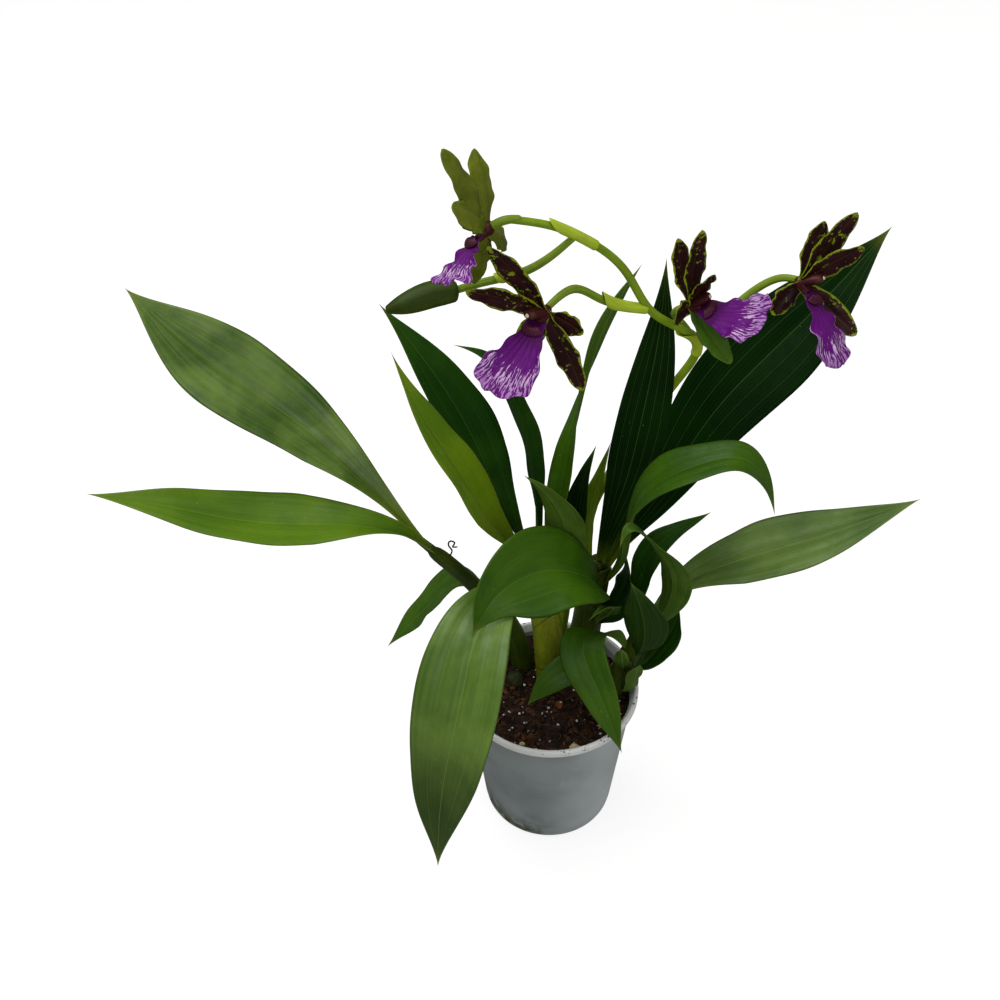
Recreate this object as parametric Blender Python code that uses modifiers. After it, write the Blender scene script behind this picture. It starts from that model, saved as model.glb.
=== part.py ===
"""Zygopetalum orchid growing in a nursery pot.

Frame: metres, +Z up, origin at the centre of the pot's underside.
+X runs to the right of the plant as it is usually seen, and -Y towards the viewer.
Sizes and places below are in millimetres and are scaled by MM when they reach a mesh.
"""

import math
from dataclasses import dataclass

import bmesh
import bpy
import numpy as np
from mathutils import Matrix, Vector

MM = 0.001
PART_NAME = "zygopetalum_orchid"
GAP = 0.3

# Pot
POT_HEIGHT = 112.0
POT_RIM_RADIUS = 60.0
POT_RIM_DEPTH = 5.0
POT_RIM_LIP = 3.0
POT_WALL = 1.6
POT_TOP_WALL_RADIUS = 57.0
POT_BASE_RADIUS = 45.0
POT_BASE_ROUND = 3.0
POT_SIDES = 40

# Soil
SOIL_TOP = 100.0
SOIL_BUMP = 2.2
SOIL_RINGS = 6
SOIL_SIDES = 30
SOIL_SEED = 7

# Blades
LEAF_THICKNESS = 0.8
PETAL_THICKNESS = 0.8
LEAF_ROWS = 10
TEPAL_ROWS = 7
LIP_ROWS = 10
BRACT_ROWS = 6
TEPAL_WIDTH = 15.5
LIP_WIDTH = 36.0
TEPAL_BOW = 2.0
CORE_RADIUS = 3.8
COLUMN_LENGTH = 11.5
COLUMN_RADII = (3.4, 4.0, 3.6)
COLUMN_RISE = 1.0
FOOT_LENGTH = 7.0
FOOT_RADII = (3.0, 3.0)

# Colours, linear RGB
LEAF_GREEN = (0.035, 0.11, 0.02)
SHEATH_GREEN = (0.16, 0.26, 0.05)
SPIKE_GREEN = (0.25, 0.42, 0.05)
TEPAL_MAROON = (0.05, 0.012, 0.018)
LIP_VIOLET = (0.15, 0.03, 0.28)
POT_GREY = (0.2, 0.23, 0.25)
SOIL_BROWN = (0.03, 0.018, 0.01)
SCALE_BROWN = (0.18, 0.1, 0.04)
WIRE_BLACK = (0.01, 0.01, 0.01)


@dataclass(frozen=True)
class Blade:
    """A leaf, bract or petal: its midrib from root to tip and the blade's measures on it."""

    name: str
    midrib: tuple
    width: float
    roll: tuple = (0, 0)
    fold: tuple = (50, 12)
    neck: float = 5.0
    widest: float = 0.5
    taper: float = 1.45
    wave: float = 1.0
    waves: float = 2.5


@dataclass(frozen=True)
class Shoot:
    """A round, tapered shoot: its centre line from the soil up, and its radius at each point."""

    name: str
    line: tuple
    radii: tuple


@dataclass(frozen=True)
class Flower:
    """A bloom: its whorl's middle, the ways its column and its tepals face, five tips and the lip's midrib."""

    name: str
    centre: tuple
    faces: tuple
    opens: tuple
    tips: dict
    lip: tuple
    lip_roll: float


SHOOTS = (
    Shoot("shoot_left", ((-16, 30, 88), (-24, 27, 130), (-38, 20, 168), (-54, 14, 197), (-82, 8, 236)),
          (7.0, 7.2, 5.6, 4.0, 2.6)),
    Shoot("shoot_centre", ((0, 18, 88), (0, 20, 130), (-6, 24, 170), (-14, 27, 208)), (8.5, 9.5, 8.0, 5.5)),
    Shoot("shoot_right", ((22, 32, 88), (26, 35, 130), (30, 38, 160), (33, 39, 188)), (8.5, 9.5, 8.5, 6.5)),
    Shoot("shoot_side", ((38, 0, 88), (46, 2, 112), (55, 6, 138), (62, 8, 160)), (6.0, 6.5, 6.0, 4.2)),
)

LEAVES = {
    "shoot_left": (
        Blade("leaf_left_long", ((-80, 8, 232), (-109, 14, 272), (-151, 28, 312), (-204, 45, 349), (-246, 62, 385)),
              54, roll=(-15, -30), neck=3, widest=0.66),
        Blade("leaf_left_level", ((-75, 6, 227), (-92, -5, 252), (-126, -12, 266), (-170, -18, 274),
                                  (-220, -24, 292), (-264, -28, 306)), 42, roll=(0, -20),
              neck=4),
        Blade("leaf_left_back", ((-38, 22, 168), (-54, 42, 166), (-84, 58, 130), (-115, 50, 97)), 36,
              roll=(0, -30)),
    ),
    "shoot_centre": (
        Blade("leaf_tall_dark", ((-13, 27, 200), (-32, 36, 246), (-54, 44, 302), (-81, 52, 348), (-101, 60, 374)),
              40, roll=(-20, -20)),
        Blade("leaf_tall_bright", ((-12, 25, 190), (-40, 14, 250), (-61, 8, 300), (-80, 12, 337), (-92, 22, 365)),
              36, roll=(-20, -20)),
        Blade("leaf_tall_thin", ((-10, 27, 192), (-12, 48, 270), (-24, 54, 312), (-40, 55, 339), (-59, 50, 351)), 24),
        Blade("leaf_twisted", ((-4, 24, 180), (8, 38, 258), (19, 50, 313), (32, 60, 358), (52, 64, 395)), 26,
              roll=(60, -120), waves=1),
        Blade("leaf_small_upright", ((1, 20, 165), (10, 18, 230), (2, 15, 256), (-8, 12, 273), (-18, 8, 286)), 24,
              roll=(45, 45)),
        Blade("leaf_front_long", ((-6, 22, 160), (-26, -6, 202), (-44, -40, 212), (-56, -72, 186), (-69, -92, 128),
                                  (-76, -100, 48)), 58, widest=0.52),
    ),
    "shoot_right": (
        Blade("leaf_right_tall", ((32, 38, 178), (38, 38, 216), (48, 42, 254), (57, 52, 300), (64, 64, 343),
                                  (67, 76, 392)), 34, roll=(40, 45), neck=8),
        Blade("leaf_right_long", ((32, 39, 165), (48, 52, 190), (67, 60, 215), (102, 74, 276), (155, 92, 334),
                                  (207, 110, 392)), 62, roll=(25, 25), neck=12, widest=0.64),
        Blade("leaf_arched", ((33, 36, 164), (48, 20, 206), (50, 10, 252), (64, 2, 285), (86, -4, 302),
                              (105, -6, 307), (120, -4, 293), (133, -2, 259)), 36, roll=(10, 15)),
        Blade("leaf_front_broad", ((28, 34, 150), (30, 12, 190), (16, -7, 219), (-2, -16, 231), (-21, -27, 234),
                                   (-35, -38, 231), (-50, -50, 210)), 56, roll=(-20, -60), widest=0.66),
        Blade("leaf_small_dark", ((28, 38, 155), (17, 40, 230), (22, 40, 262), (28, 40, 284)), 18, roll=(-40, -40)),
        Blade("leaf_small_yellow", ((30, 40, 165), (26, 50, 223), (32, 50, 252), (38, 52, 277)), 12),
        Blade("leaf_pointing_down", ((30, 30, 136), (40, 8, 172), (36, -7, 190), (30, -14, 195), (22, -16, 186)), 12,
              widest=0.6),
        Blade("leaf_inner_dark", ((30, 35, 130), (46, 30, 152), (53, 27, 180), (48, 29, 206)), 30, roll=(30, 30)),
    ),
    "shoot_side": (
        Blade("leaf_right_level", ((61, 9, 155), (88, 30, 171), (129, 34, 192), (182, 34, 213), (234, 32, 243)), 44,
              roll=(10, 25)),
        Blade("leaf_right_short", ((57, 8, 140), (62, 30, 184), (73, 36, 207), (90, 38, 219), (104, 38, 230)), 22),
        Blade("leaf_curled", ((60, 6, 145), (76, -3, 206), (68, -8, 232), (54, -14, 255), (43, -18, 265),
                              (38, -22, 252)), 28, roll=(0, -20)),
        Blade("leaf_over_rim", ((54, 5, 132), (34, -6, 164), (20, -20, 172), (28, -41, 150), (44, -58, 108)), 30,
              roll=(0, 10)),
        Blade("leaf_low_front", ((46, 2, 108), (28, -4, 132), (11, -10, 135), (-4, -16, 127), (-16, -18, 110)), 24,
              roll=(-20, -20)),
        Blade("leaf_side_upright", ((54, 5, 126), (60, -8, 158), (57, -12, 188), (48, -12, 216)), 30,
              widest=0.55),
        Blade("leaf_side_short", ((50, 4, 121), (64, 8, 120), (73, 12, 130), (82, 14, 147), (85, 14, 168)), 22,
              roll=(10, 40), neck=8),
        Blade("leaf_side_tiny", ((46, 2, 104), (53, -8, 112), (55, -13, 128), (56, -16, 144)), 14, widest=0.7, taper=0.6),
        Blade("leaf_side_low", ((50, 4, 120), (47, -9, 138), (45, -12, 156)), 12, widest=0.6, taper=0.8),
    ),
}

SPIKE = ((8, 44, 88), (18, 56, 170), (34, 62, 230), (58, 64, 278), (76, 63, 312), (87, 58, 341), (75, 46, 361),
         (53, 34, 382), (40, 30, 405), (17, 16, 433), (-5, 6, 448), (-24, 1, 454))
PEDICELS = {
    "bud": ((9, 12, 439), (-17, 12, 419), (-37, 9, 415), (-58, 3, 412)),
    "flower_1": ((-20, 2, 454), (-28, 0, 454), (-36, 0, 450)),
    "flower_2": ((53, 34, 382), (24, 22, 396), (9, 12, 408), (-6, -4, 406)),
    "flower_3": ((87, 58, 341), (80, 62, 352), (71, 55, 367), (78, 46, 377)),
    "flower_4": ((87, 58, 341), (98, 68, 349), (120, 70, 373), (133, 65, 383), (142, 56, 386)),
}
STEM_RADII = (3.4, 3.3, 3.0, 2.6, 2.3, 2.0)
PEDICEL_RADII = (1.8, 2.2, 2.2, 1.9)

BRACTS = (
    Blade("bract_1", ((87, 58, 341), (78, 53, 349), (68, 46, 362)), 9, neck=6),
    Blade("bract_2", ((53, 34, 382), (42, 25, 385), (30, 19, 391)), 9, neck=6),
    Blade("bract_3", ((17, 16, 433), (4, 8, 444), (-8, 2, 452)), 9, neck=6),
    Blade("bract_4", ((-22, 11, 418), (-28, 8, 422), (-36, 6, 422)), 6, neck=4),
)

BUD = ((-54, 4, 412), (-64, 2, 412), (-76, -2, 410), (-89, -5, 407))
BUD_RADII = (5.2, 6.8, 7.0, 6.2, 4.6, 1.8)

OLD_BULB = (-23, 13, 102)
OLD_BULB_RADIUS = 6.5

SCALE = Blade("papery_scale", ((-42, 18, 174), (-50, 8, 180), (-57, 4, 190)), 8, neck=5)

WIRE_RADIUS = 0.5
WIRE_PLACE = 0.86
WIRE_LOOP = ((0, 0), (2, 3), (4, 4), (8, 5), (10, 8), (7, 9), (5, 6), (3, 8))

FLOWERS = (
    Flower("flower_1", (-36, 0, 450), (-0.85, 0.1, -0.5), (-0.62, 0.5, -0.6),
           {"dorsal": (-57, -10, 496), "left": (-42, 14, 486), "right": (-53, -22, 472),
            "low_left": (-43, 1, 418), "low_right": (-26, 18, 432)},
           ((-42, -4, 446), (-50, -13, 440), (-59, -23, 432)), 28),
    Flower("flower_2", (-7, -6, 405), (-0.53, -0.75, -0.4), (-0.38, -0.9, -0.12),
           {"dorsal": (-36, -15, 448), "left": (-48, -11, 421), "right": (13, -8, 392),
            "low_left": (-20, 12, 370), "low_right": (14, -8, 356)},
           ((-11, -12, 400), (-20, -24, 394), (-36, -42, 380)), 0),
    Flower("flower_3", (78, 46, 377), (0.85, -0.45, -0.1), (0.55, -0.8, 0.0),
           {"dorsal": (81, 50, 422), "left": (70, 62, 411), "right": (87, 36, 402),
            "low_left": (67, 30, 377), "low_right": (101, 26, 350)},
           ((83, 42, 376), (94, 33, 379), (115, 18, 388)), 25),
    Flower("flower_4", (141, 54, 386), (0.75, -0.62, -0.1), (0.25, -0.95, 0.1),
           {"dorsal": (168, 60, 426), "left": (155, 74, 414), "right": (170, 44, 413),
            "low_left": (125, 46, 370), "low_right": (177, 48, 354)},
           ((146, 47, 382), (152, 36, 374), (162, 20, 352)), -20),
)


def clear_scene():
    """Remove what the open file holds."""
    for obj in list(bpy.data.objects):
        bpy.data.objects.remove(obj, do_unlink=True)


def new_collection(name):
    """Return a fresh collection linked to the scene."""
    collection = bpy.data.collections.new(name)
    bpy.context.scene.collection.children.link(collection)
    return collection


def material(name, colour, roughness):
    """Return a plain Principled material."""
    mat = bpy.data.materials.get(name) or bpy.data.materials.new(name)
    mat.use_nodes = True
    shader = mat.node_tree.nodes["Principled BSDF"]
    shader.inputs["Base Color"].default_value = (*colour, 1.0)
    shader.inputs["Roughness"].default_value = roughness
    return mat


def add_mesh(name, mesh, collection, mat, origin=(0.0, 0.0, 0.0)):
    """Link a mesh as a named object whose origin lies at the given place."""
    mesh.name = name
    mesh.transform(Matrix.Translation(-Vector(origin)))
    mesh.shade_smooth()
    mesh.materials.append(mat)
    obj = bpy.data.objects.new(name, mesh)
    obj.location = origin
    collection.objects.link(obj)
    return obj


def smooth_curve(points, at):
    """Read the natural cubic spline through some points at fractions 0 to 1 of its length."""
    pts = np.array(points, dtype=float)
    chord = np.linalg.norm(np.diff(pts, axis=0), axis=1)
    knots = np.concatenate(([0.0], np.cumsum(chord)))
    count = len(pts)
    system = np.eye(count)
    right = np.zeros_like(pts)
    for i in range(1, count - 1):
        system[i, i - 1:i + 2] = chord[i - 1], 2 * (chord[i - 1] + chord[i]), chord[i]
        right[i] = 6 * ((pts[i + 1] - pts[i]) / chord[i] - (pts[i] - pts[i - 1]) / chord[i - 1])
    bend = np.linalg.solve(system, right)
    result = []
    for place in np.asarray(at) * knots[-1]:
        i = min(max(int(np.searchsorted(knots, place)) - 1, 0), count - 2)
        before, after, step = place - knots[i], knots[i + 1] - place, chord[i]
        result.append((bend[i] * after ** 3 + bend[i + 1] * before ** 3) / (6 * step)
                      + (pts[i] / step - bend[i] * step / 6) * after
                      + (pts[i + 1] / step - bend[i + 1] * step / 6) * before)
    return np.array(result)


def unit(vector):
    """Return the vector at length one."""
    return vector / np.linalg.norm(vector)


def side_of(blade, faces=None):
    """Return the direction across a blade: level for a leaf, square to its face for a petal."""
    along = np.subtract(blade.midrib[-1], blade.midrib[0]).astype(float)
    if faces is not None:
        return unit(np.cross(along, faces))
    along[2] = 0.0
    return unit(np.cross(along, (0.0, 0.0, 1.0)))


def half_width(blade, u):
    """Return the blade's half width at a fraction of its length."""
    half, neck = blade.width / 2, blade.neck / 2
    if u < blade.widest:
        rise = u / blade.widest
        return neck + (half - neck) * rise * rise * (3 - 2 * rise)
    fall = (u - blade.widest) / (1 - blade.widest)
    return half * max(1 - fall * fall, 0.0) ** blade.taper


def blade_rows(blade, rows, columns, faces=None):
    """Return the blade's middle surface as rows of points, from its root to its tip."""
    fractions = np.linspace(0.0, 1.0, rows)
    line = smooth_curve(blade.midrib, fractions)
    tangents = np.gradient(line, axis=0)
    across = side_of(blade, faces)
    grid = []
    for u, point, tangent in zip(fractions, line, tangents):
        tangent = unit(tangent)
        side = unit(across - tangent * np.dot(across, tangent))
        roll = math.radians(blade.roll[0] + (blade.roll[1] - blade.roll[0]) * u)
        up = np.cross(side, tangent)
        side, up = side * math.cos(roll) + up * -math.sin(roll), up * math.cos(roll) + side * math.sin(roll)
        fold = math.radians(blade.fold[1] + (blade.fold[0] - blade.fold[1]) * max(1 - 2.5 * u, 0.0))
        half = half_width(blade, u)
        row = []
        for v in np.linspace(-1.0, 1.0, columns):
            ripple = blade.wave * v * v * math.sin(math.tau * blade.waves * u + 0.8 * v) * min(half / blade.width * 3, 1)
            lift = half * abs(v) * math.sin(fold) + ripple
            row.append(point + side * half * v * math.cos(fold) + up * lift)
        grid.append(row)
    return grid


def blade_surface(bm, grid):
    """Add a blade's middle surface in triangles that end in one point at the tip."""
    rows = [[bm.verts.new(Vector(p) * MM) for p in row] for row in grid[:-1]]
    middle = len(grid[0]) // 2
    tip = bm.verts.new(Vector(grid[-1][middle]) * MM)
    for low, high in zip(rows, rows[1:]):
        for j in range(len(low) - 1):
            a, b, c, d = low[j], low[j + 1], high[j + 1], high[j]
            if j < middle:
                bm.faces.new((a, b, c))
                bm.faces.new((a, c, d))
            else:
                bm.faces.new((a, b, d))
                bm.faces.new((b, c, d))
    for a, b in zip(rows[-1], rows[-1][1:]):
        bm.faces.new((a, b, tip))


def thicken(obj, thickness):
    """Give an open surface its thickness, half to each side."""
    solidify = obj.modifiers.new("thickness", "SOLIDIFY")
    solidify.thickness = thickness * MM
    solidify.offset = 0.0
    return obj


def apply_modifiers(obj):
    """Turn an object's evaluated shape into its own mesh."""
    shape = bpy.data.meshes.new_from_object(obj.evaluated_get(bpy.context.evaluated_depsgraph_get()))
    obj.modifiers.clear()
    obj.data = shape


def add_blade(blade, rows, columns, thickness, collection, mat, faces=None):
    """Add one leaf, bract or petal as a thin solid."""
    bm = bmesh.new()
    blade_surface(bm, blade_rows(blade, rows, columns, faces))
    mesh = bpy.data.meshes.new(blade.name)
    bm.to_mesh(mesh)
    bm.free()
    origin = Vector(blade.midrib[0]) * MM
    return thicken(add_mesh(blade.name, mesh, collection, mat, origin), thickness)


def add_tube(name, line, radii, collection, mat, sides=8, grow=0.0, spacing=11.0):
    """Add a tapered tube with closed ends along a smooth line through some points."""
    length = sum(np.linalg.norm(np.diff(np.array(line, dtype=float), axis=0), axis=1))
    count = max(int(length / spacing), 3) + 1
    fractions = np.linspace(0.0, 1.0, count)
    points = smooth_curve(line, fractions)
    points[0] += unit(points[0] - points[1]) * grow
    points[-1] += unit(points[-1] - points[-2]) * grow
    widths = np.interp(fractions, np.linspace(0.0, 1.0, len(radii)), radii)
    curve = bpy.data.curves.new(name, "CURVE")
    curve.dimensions = "3D"
    curve.bevel_depth = MM
    curve.bevel_resolution = max(sides // 2 - 2, 0)
    curve.use_fill_caps = True
    spline = curve.splines.new("POLY")
    spline.points.add(count - 1)
    for place, point, width in zip(spline.points, points, widths):
        place.co = (*(Vector(point) * MM), 1.0)
        place.radius = width + grow
    guide = bpy.data.objects.new(name + "_guide", curve)
    collection.objects.link(guide)
    mesh = bpy.data.meshes.new_from_object(guide.evaluated_get(bpy.context.evaluated_depsgraph_get()))
    bpy.data.objects.remove(guide, do_unlink=True)
    bpy.data.curves.remove(curve)
    bm = bmesh.new()
    bm.from_mesh(mesh)
    bmesh.ops.remove_doubles(bm, verts=bm.verts, dist=0.01 * MM)
    bmesh.ops.recalc_face_normals(bm, faces=bm.faces)
    bm.to_mesh(mesh)
    bm.free()
    return add_mesh(name, mesh, collection, mat, Vector(line[0]) * MM)


def as_cutter(obj):
    """Mark an object as a tool that isn't part of the plant."""
    obj.hide_render = True
    obj.display_type = "WIRE"
    return obj


def cut(obj, cutter):
    """Take a cutter's shape out of an object."""
    boolean = obj.modifiers.new("cut_" + cutter.name, "BOOLEAN")
    boolean.operation = "DIFFERENCE"
    boolean.object = cutter


def join(obj, pieces_name, pieces):
    """Unite an object with pieces that grow out of it, and drop the pieces."""
    group = new_collection(pieces_name)
    for piece in pieces:
        apply_modifiers(piece)
        for owner in list(piece.users_collection):
            owner.objects.unlink(piece)
        group.objects.link(piece)
    union = obj.modifiers.new("grown_together", "BOOLEAN")
    union.operation = "UNION"
    union.operand_type = "COLLECTION"
    union.collection = group
    apply_modifiers(obj)
    for piece in list(group.objects):
        bpy.data.objects.remove(piece, do_unlink=True)
    bpy.data.collections.remove(group)


def turned(name, profile, sides, collection, mat):
    """Add a solid turned about Z from a profile of radius and height."""
    bm = bmesh.new()
    verts = [bm.verts.new((r * MM, 0.0, z * MM)) for r, z in profile]
    for a, b in zip(verts, verts[1:]):
        bm.edges.new((a, b))
    mesh = bpy.data.meshes.new(name)
    bm.to_mesh(mesh)
    bm.free()
    obj = add_mesh(name, mesh, collection, mat)
    screw = obj.modifiers.new("turn", "SCREW")
    screw.steps = screw.render_steps = sides
    screw.use_merge_vertices = True
    screw.merge_threshold = 0.01 * MM
    return obj


def pot_radius(z):
    """Return the outer radius of the pot's wall at a height."""
    return POT_BASE_RADIUS + (POT_TOP_WALL_RADIUS - POT_BASE_RADIUS) * z / POT_HEIGHT


def build_pot(collection):
    """Build the tapered pot: flat base, straight wall, rim with a lip turned out."""
    under_rim = POT_HEIGHT - POT_RIM_DEPTH
    inside_top = POT_RIM_RADIUS - POT_RIM_LIP
    profile = (
        (0.0, POT_WALL),
        (POT_BASE_RADIUS - POT_BASE_ROUND - POT_WALL, POT_WALL),
        (pot_radius(POT_BASE_ROUND) - POT_WALL, POT_BASE_ROUND + POT_WALL),
        (pot_radius(under_rim) - POT_WALL, under_rim),
        (inside_top, POT_HEIGHT - 1.0),
        (inside_top + 1.0, POT_HEIGHT),
        (POT_RIM_RADIUS - 1.0, POT_HEIGHT),
        (POT_RIM_RADIUS, POT_HEIGHT - 1.0),
        (POT_RIM_RADIUS, under_rim + 0.8),
        (POT_RIM_RADIUS - 0.8, under_rim),
        (pot_radius(under_rim), under_rim),
        (pot_radius(POT_BASE_ROUND), POT_BASE_ROUND),
        (POT_BASE_RADIUS - POT_BASE_ROUND, 0.0),
        (0.0, 0.0),
    )
    return turned("pot", profile, POT_SIDES, collection, material("pot_plastic", POT_GREY, 0.5))


def build_soil(collection, cutters):
    """Build the soil fill: a bumpy top, a wall just inside the pot and a hole for each shoot."""
    random = np.random.default_rng(SOIL_SEED)
    top_radius = pot_radius(SOIL_TOP) - POT_WALL - GAP - 0.4
    low_radius = pot_radius(POT_BASE_ROUND + POT_WALL) - POT_WALL - GAP - 0.6
    low = POT_BASE_ROUND + POT_WALL + GAP
    bm = bmesh.new()
    centre = bm.verts.new((0.0, 0.0, SOIL_TOP * MM))
    rings = []
    for ring in range(1, SOIL_RINGS + 1):
        radius = top_radius * ring / SOIL_RINGS
        bump = SOIL_BUMP if ring < SOIL_RINGS else 0.5
        points = []
        for k in range(SOIL_SIDES):
            angle = math.tau * k / SOIL_SIDES
            height = SOIL_TOP + bump * random.uniform(-1.0, 1.0)
            points.append((radius * math.cos(angle), radius * math.sin(angle), height))
        rings.append([bm.verts.new(Vector(p) * MM) for p in points])
    base = [bm.verts.new((low_radius * MM * math.cos(a), low_radius * MM * math.sin(a), low * MM))
            for a in np.linspace(0.0, math.tau, SOIL_SIDES, endpoint=False)]
    rings.append(base)
    for k in range(SOIL_SIDES):
        after = (k + 1) % SOIL_SIDES
        bm.faces.new((centre, rings[0][k], rings[0][after]))
        for inner, outer in zip(rings, rings[1:]):
            bm.faces.new((inner[k], outer[k], outer[after]))
            bm.faces.new((inner[k], outer[after], inner[after]))
    bm.faces.new(reversed(base))
    mesh = bpy.data.meshes.new("soil")
    bm.to_mesh(mesh)
    bm.free()
    soil = add_mesh("soil", mesh, collection, material("soil", SOIL_BROWN, 0.95))
    for cutter in cutters:
        cut(soil, cutter)
    return soil


def build_shoots(collection, cutters):
    """Build each shoot and the slightly wider cutter that clears its neighbours."""
    mat = material("sheath", SHEATH_GREEN, 0.45)
    tools = {}
    for shoot in SHOOTS:
        add_tube(shoot.name, shoot.line, shoot.radii, collection, mat)
        tool = add_tube(shoot.name + "_clearance", shoot.line, shoot.radii, cutters, mat, grow=GAP)
        tools[shoot.name] = as_cutter(tool)
    return tools


def build_foot(collection, cutters):
    """Build the old bulb, and what clears it and the flower stem from the soil."""
    mat = material("sheath", SHEATH_GREEN, 0.45)
    add_ball("old_bulb", OLD_BULB, OLD_BULB_RADIUS, collection, mat)
    bulb_tool = add_ball("old_bulb_clearance", OLD_BULB, OLD_BULB_RADIUS + 1.5 * GAP, cutters, mat)
    stem_tool = add_tube("stem_clearance", SPIKE[:3], STEM_RADII[:2], cutters, mat, grow=2 * GAP)
    return as_cutter(bulb_tool), as_cutter(stem_tool)


def build_trim(collection, tool):
    """Build the papery scale and the wire tie that sit on the left shoot."""
    scale = add_blade(SCALE, BRACT_ROWS, 3, LEAF_THICKNESS, collection, material("papery_scale", SCALE_BROWN, 0.8))
    cut(scale, tool)
    shoot = SHOOTS[0]
    before, middle, after = smooth_curve(shoot.line, (WIRE_PLACE - 0.01, WIRE_PLACE, WIRE_PLACE + 0.01))
    radius = np.interp(WIRE_PLACE, np.linspace(0.0, 1.0, len(shoot.radii)), shoot.radii) + GAP + WIRE_RADIUS
    along = unit(after - before)
    out = unit(np.cross(along, (0.0, -1.0, 0.0)))
    over = np.cross(along, out)
    turns = np.linspace(0.0, 0.94 * math.tau, 16)
    ring = [tuple(middle + radius * (out * math.cos(t) + over * math.sin(t)) + along * t / 4) for t in turns]
    loop = [tuple(middle + radius * out + along * a + out * (b + 1)) for a, b in WIRE_LOOP]
    add_tube("wire_tie", list(reversed(ring)) + loop[1:], (WIRE_RADIUS,) * 2, collection,
             material("wire", WIRE_BLACK, 0.4), sides=6, spacing=1.6)


def build_leaves(collection, tools):
    """Build every leaf, cut back at its root to just clear the shoot that carries it."""
    mat = material("leaf", LEAF_GREEN, 0.4)
    for shoot_name, leaves in LEAVES.items():
        for leaf in leaves:
            obj = add_blade(leaf, LEAF_ROWS, 5, LEAF_THICKNESS, collection, mat)
            cut(obj, tools[shoot_name])


def build_spike(collection, cutters):
    """Build the flower stem with its pedicels as one grown piece, and its clearance."""
    mat = material("spike", SPIKE_GREEN, 0.45)
    spike = add_tube("flower_stem", SPIKE, STEM_RADII, collection, mat)
    grown = [add_tube(name + "_stalk", line, PEDICEL_RADII, collection, mat, spacing=7.0)
             for name, line in PEDICELS.items()]
    grown += [add_blade(bract, BRACT_ROWS, 3, LEAF_THICKNESS, collection, mat) for bract in BRACTS]
    join(spike, "stalks", grown)
    tools = [add_ball(flower.name + "_clearance", flower.centre, CORE_RADIUS + GAP, cutters, mat)
             for flower in FLOWERS]
    tools.append(add_tube("bud_clearance", BUD, BUD_RADII, cutters, mat, grow=GAP))
    for tool in tools:
        cut(spike, as_cutter(tool))
    add_tube("bud", BUD, BUD_RADII, collection, material("bud", LEAF_GREEN, 0.4))


def build_flower(flower, collection, cutters):
    """Build one bloom: five tepals, column and column foot grown together, and the lip on the foot."""
    faces = unit(np.array(flower.faces))
    centre = np.array(flower.centre, dtype=float)
    tepal_mat = material("tepal", TEPAL_MAROON, 0.4)
    grown = []
    opens = unit(np.array(flower.opens))
    for key, tip in flower.tips.items():
        middle = (centre + np.array(tip)) / 2 - opens * TEPAL_BOW
        blade = Blade(flower.name + "_" + key, (tuple(centre), tuple(middle), tip), TEPAL_WIDTH,
                      fold=(25, 10), neck=8.0, taper=0.6, wave=0.5)
        grown.append(add_blade(blade, TEPAL_ROWS, 3, PETAL_THICKNESS, collection, tepal_mat, opens))
    dorsal = unit(np.array(flower.tips["dorsal"]) - centre)
    rise = unit(faces + COLUMN_RISE * dorsal)
    column = (tuple(centre), tuple(centre + rise * COLUMN_LENGTH / 2),
              tuple(centre + rise * COLUMN_LENGTH + faces))
    grown.append(add_tube(flower.name + "_column", column, COLUMN_RADII, collection, tepal_mat, spacing=4.0))
    out = unit(np.array(flower.lip[1]) - centre)
    foot = (tuple(centre), tuple(centre + out * FOOT_LENGTH / 2), tuple(centre + out * FOOT_LENGTH))
    grown.append(add_tube(flower.name + "_foot", foot, FOOT_RADII, collection, tepal_mat, spacing=4.0))
    whorl = add_ball(flower.name + "_whorl", centre, CORE_RADIUS, collection, tepal_mat)
    join(whorl, flower.name + "_grown", grown)
    claw = tuple(centre + out * (FOOT_LENGTH - 0.4))
    lip = Blade(flower.name + "_lip", (claw, *flower.lip[1:]), LIP_WIDTH,
                roll=(flower.lip_roll, flower.lip_roll), fold=(10, -8), neck=12.0,
                widest=0.78, taper=0.35, wave=1.6, waves=3.5)
    petal = add_blade(lip, LIP_ROWS, 5, PETAL_THICKNESS, collection, material("lip", LIP_VIOLET, 0.5))
    for key, line, radii in (("_foot", foot, FOOT_RADII), ("_column", column, COLUMN_RADII)):
        tool = add_tube(flower.name + key + "_clearance", line, radii, cutters, tepal_mat, grow=2 * GAP, spacing=4.0)
        cut(petal, as_cutter(tool))


def add_ball(name, centre, radius, collection, mat):
    """Add a small ball."""
    bm = bmesh.new()
    bmesh.ops.create_uvsphere(bm, u_segments=10, v_segments=6, radius=radius * MM)
    mesh = bpy.data.meshes.new(name)
    bm.to_mesh(mesh)
    bm.free()
    ball = add_mesh(name, mesh, collection, mat)
    ball.location = Vector(centre) * MM
    return ball


def main():
    """Build the whole plant."""
    clear_scene()
    parts = new_collection(PART_NAME)
    cutters = new_collection("cutters")
    build_pot(parts)
    tools = build_shoots(parts, cutters)
    soil_tools = [*tools.values(), *build_foot(parts, cutters)]
    build_soil(parts, soil_tools)
    build_leaves(parts, tools)
    build_trim(parts, tools["shoot_left"])
    build_spike(parts, cutters)
    for flower in FLOWERS:
        build_flower(flower, parts, cutters)


main()
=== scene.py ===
"""Looks of a zygopetalum orchid in its nursery pot, dressed over its fixed CAD model.

Frame: metres, +Z up, origin at the centre of the pot's underside, -Y towards the viewer.
Sizes and places in this file are in millimetres, and are scaled by MM when they reach a mesh.
"""

import logging
import math
from dataclasses import dataclass, field
from enum import Enum

import bmesh
import bpy
import numpy as np
from mathutils import Matrix, Vector


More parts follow.
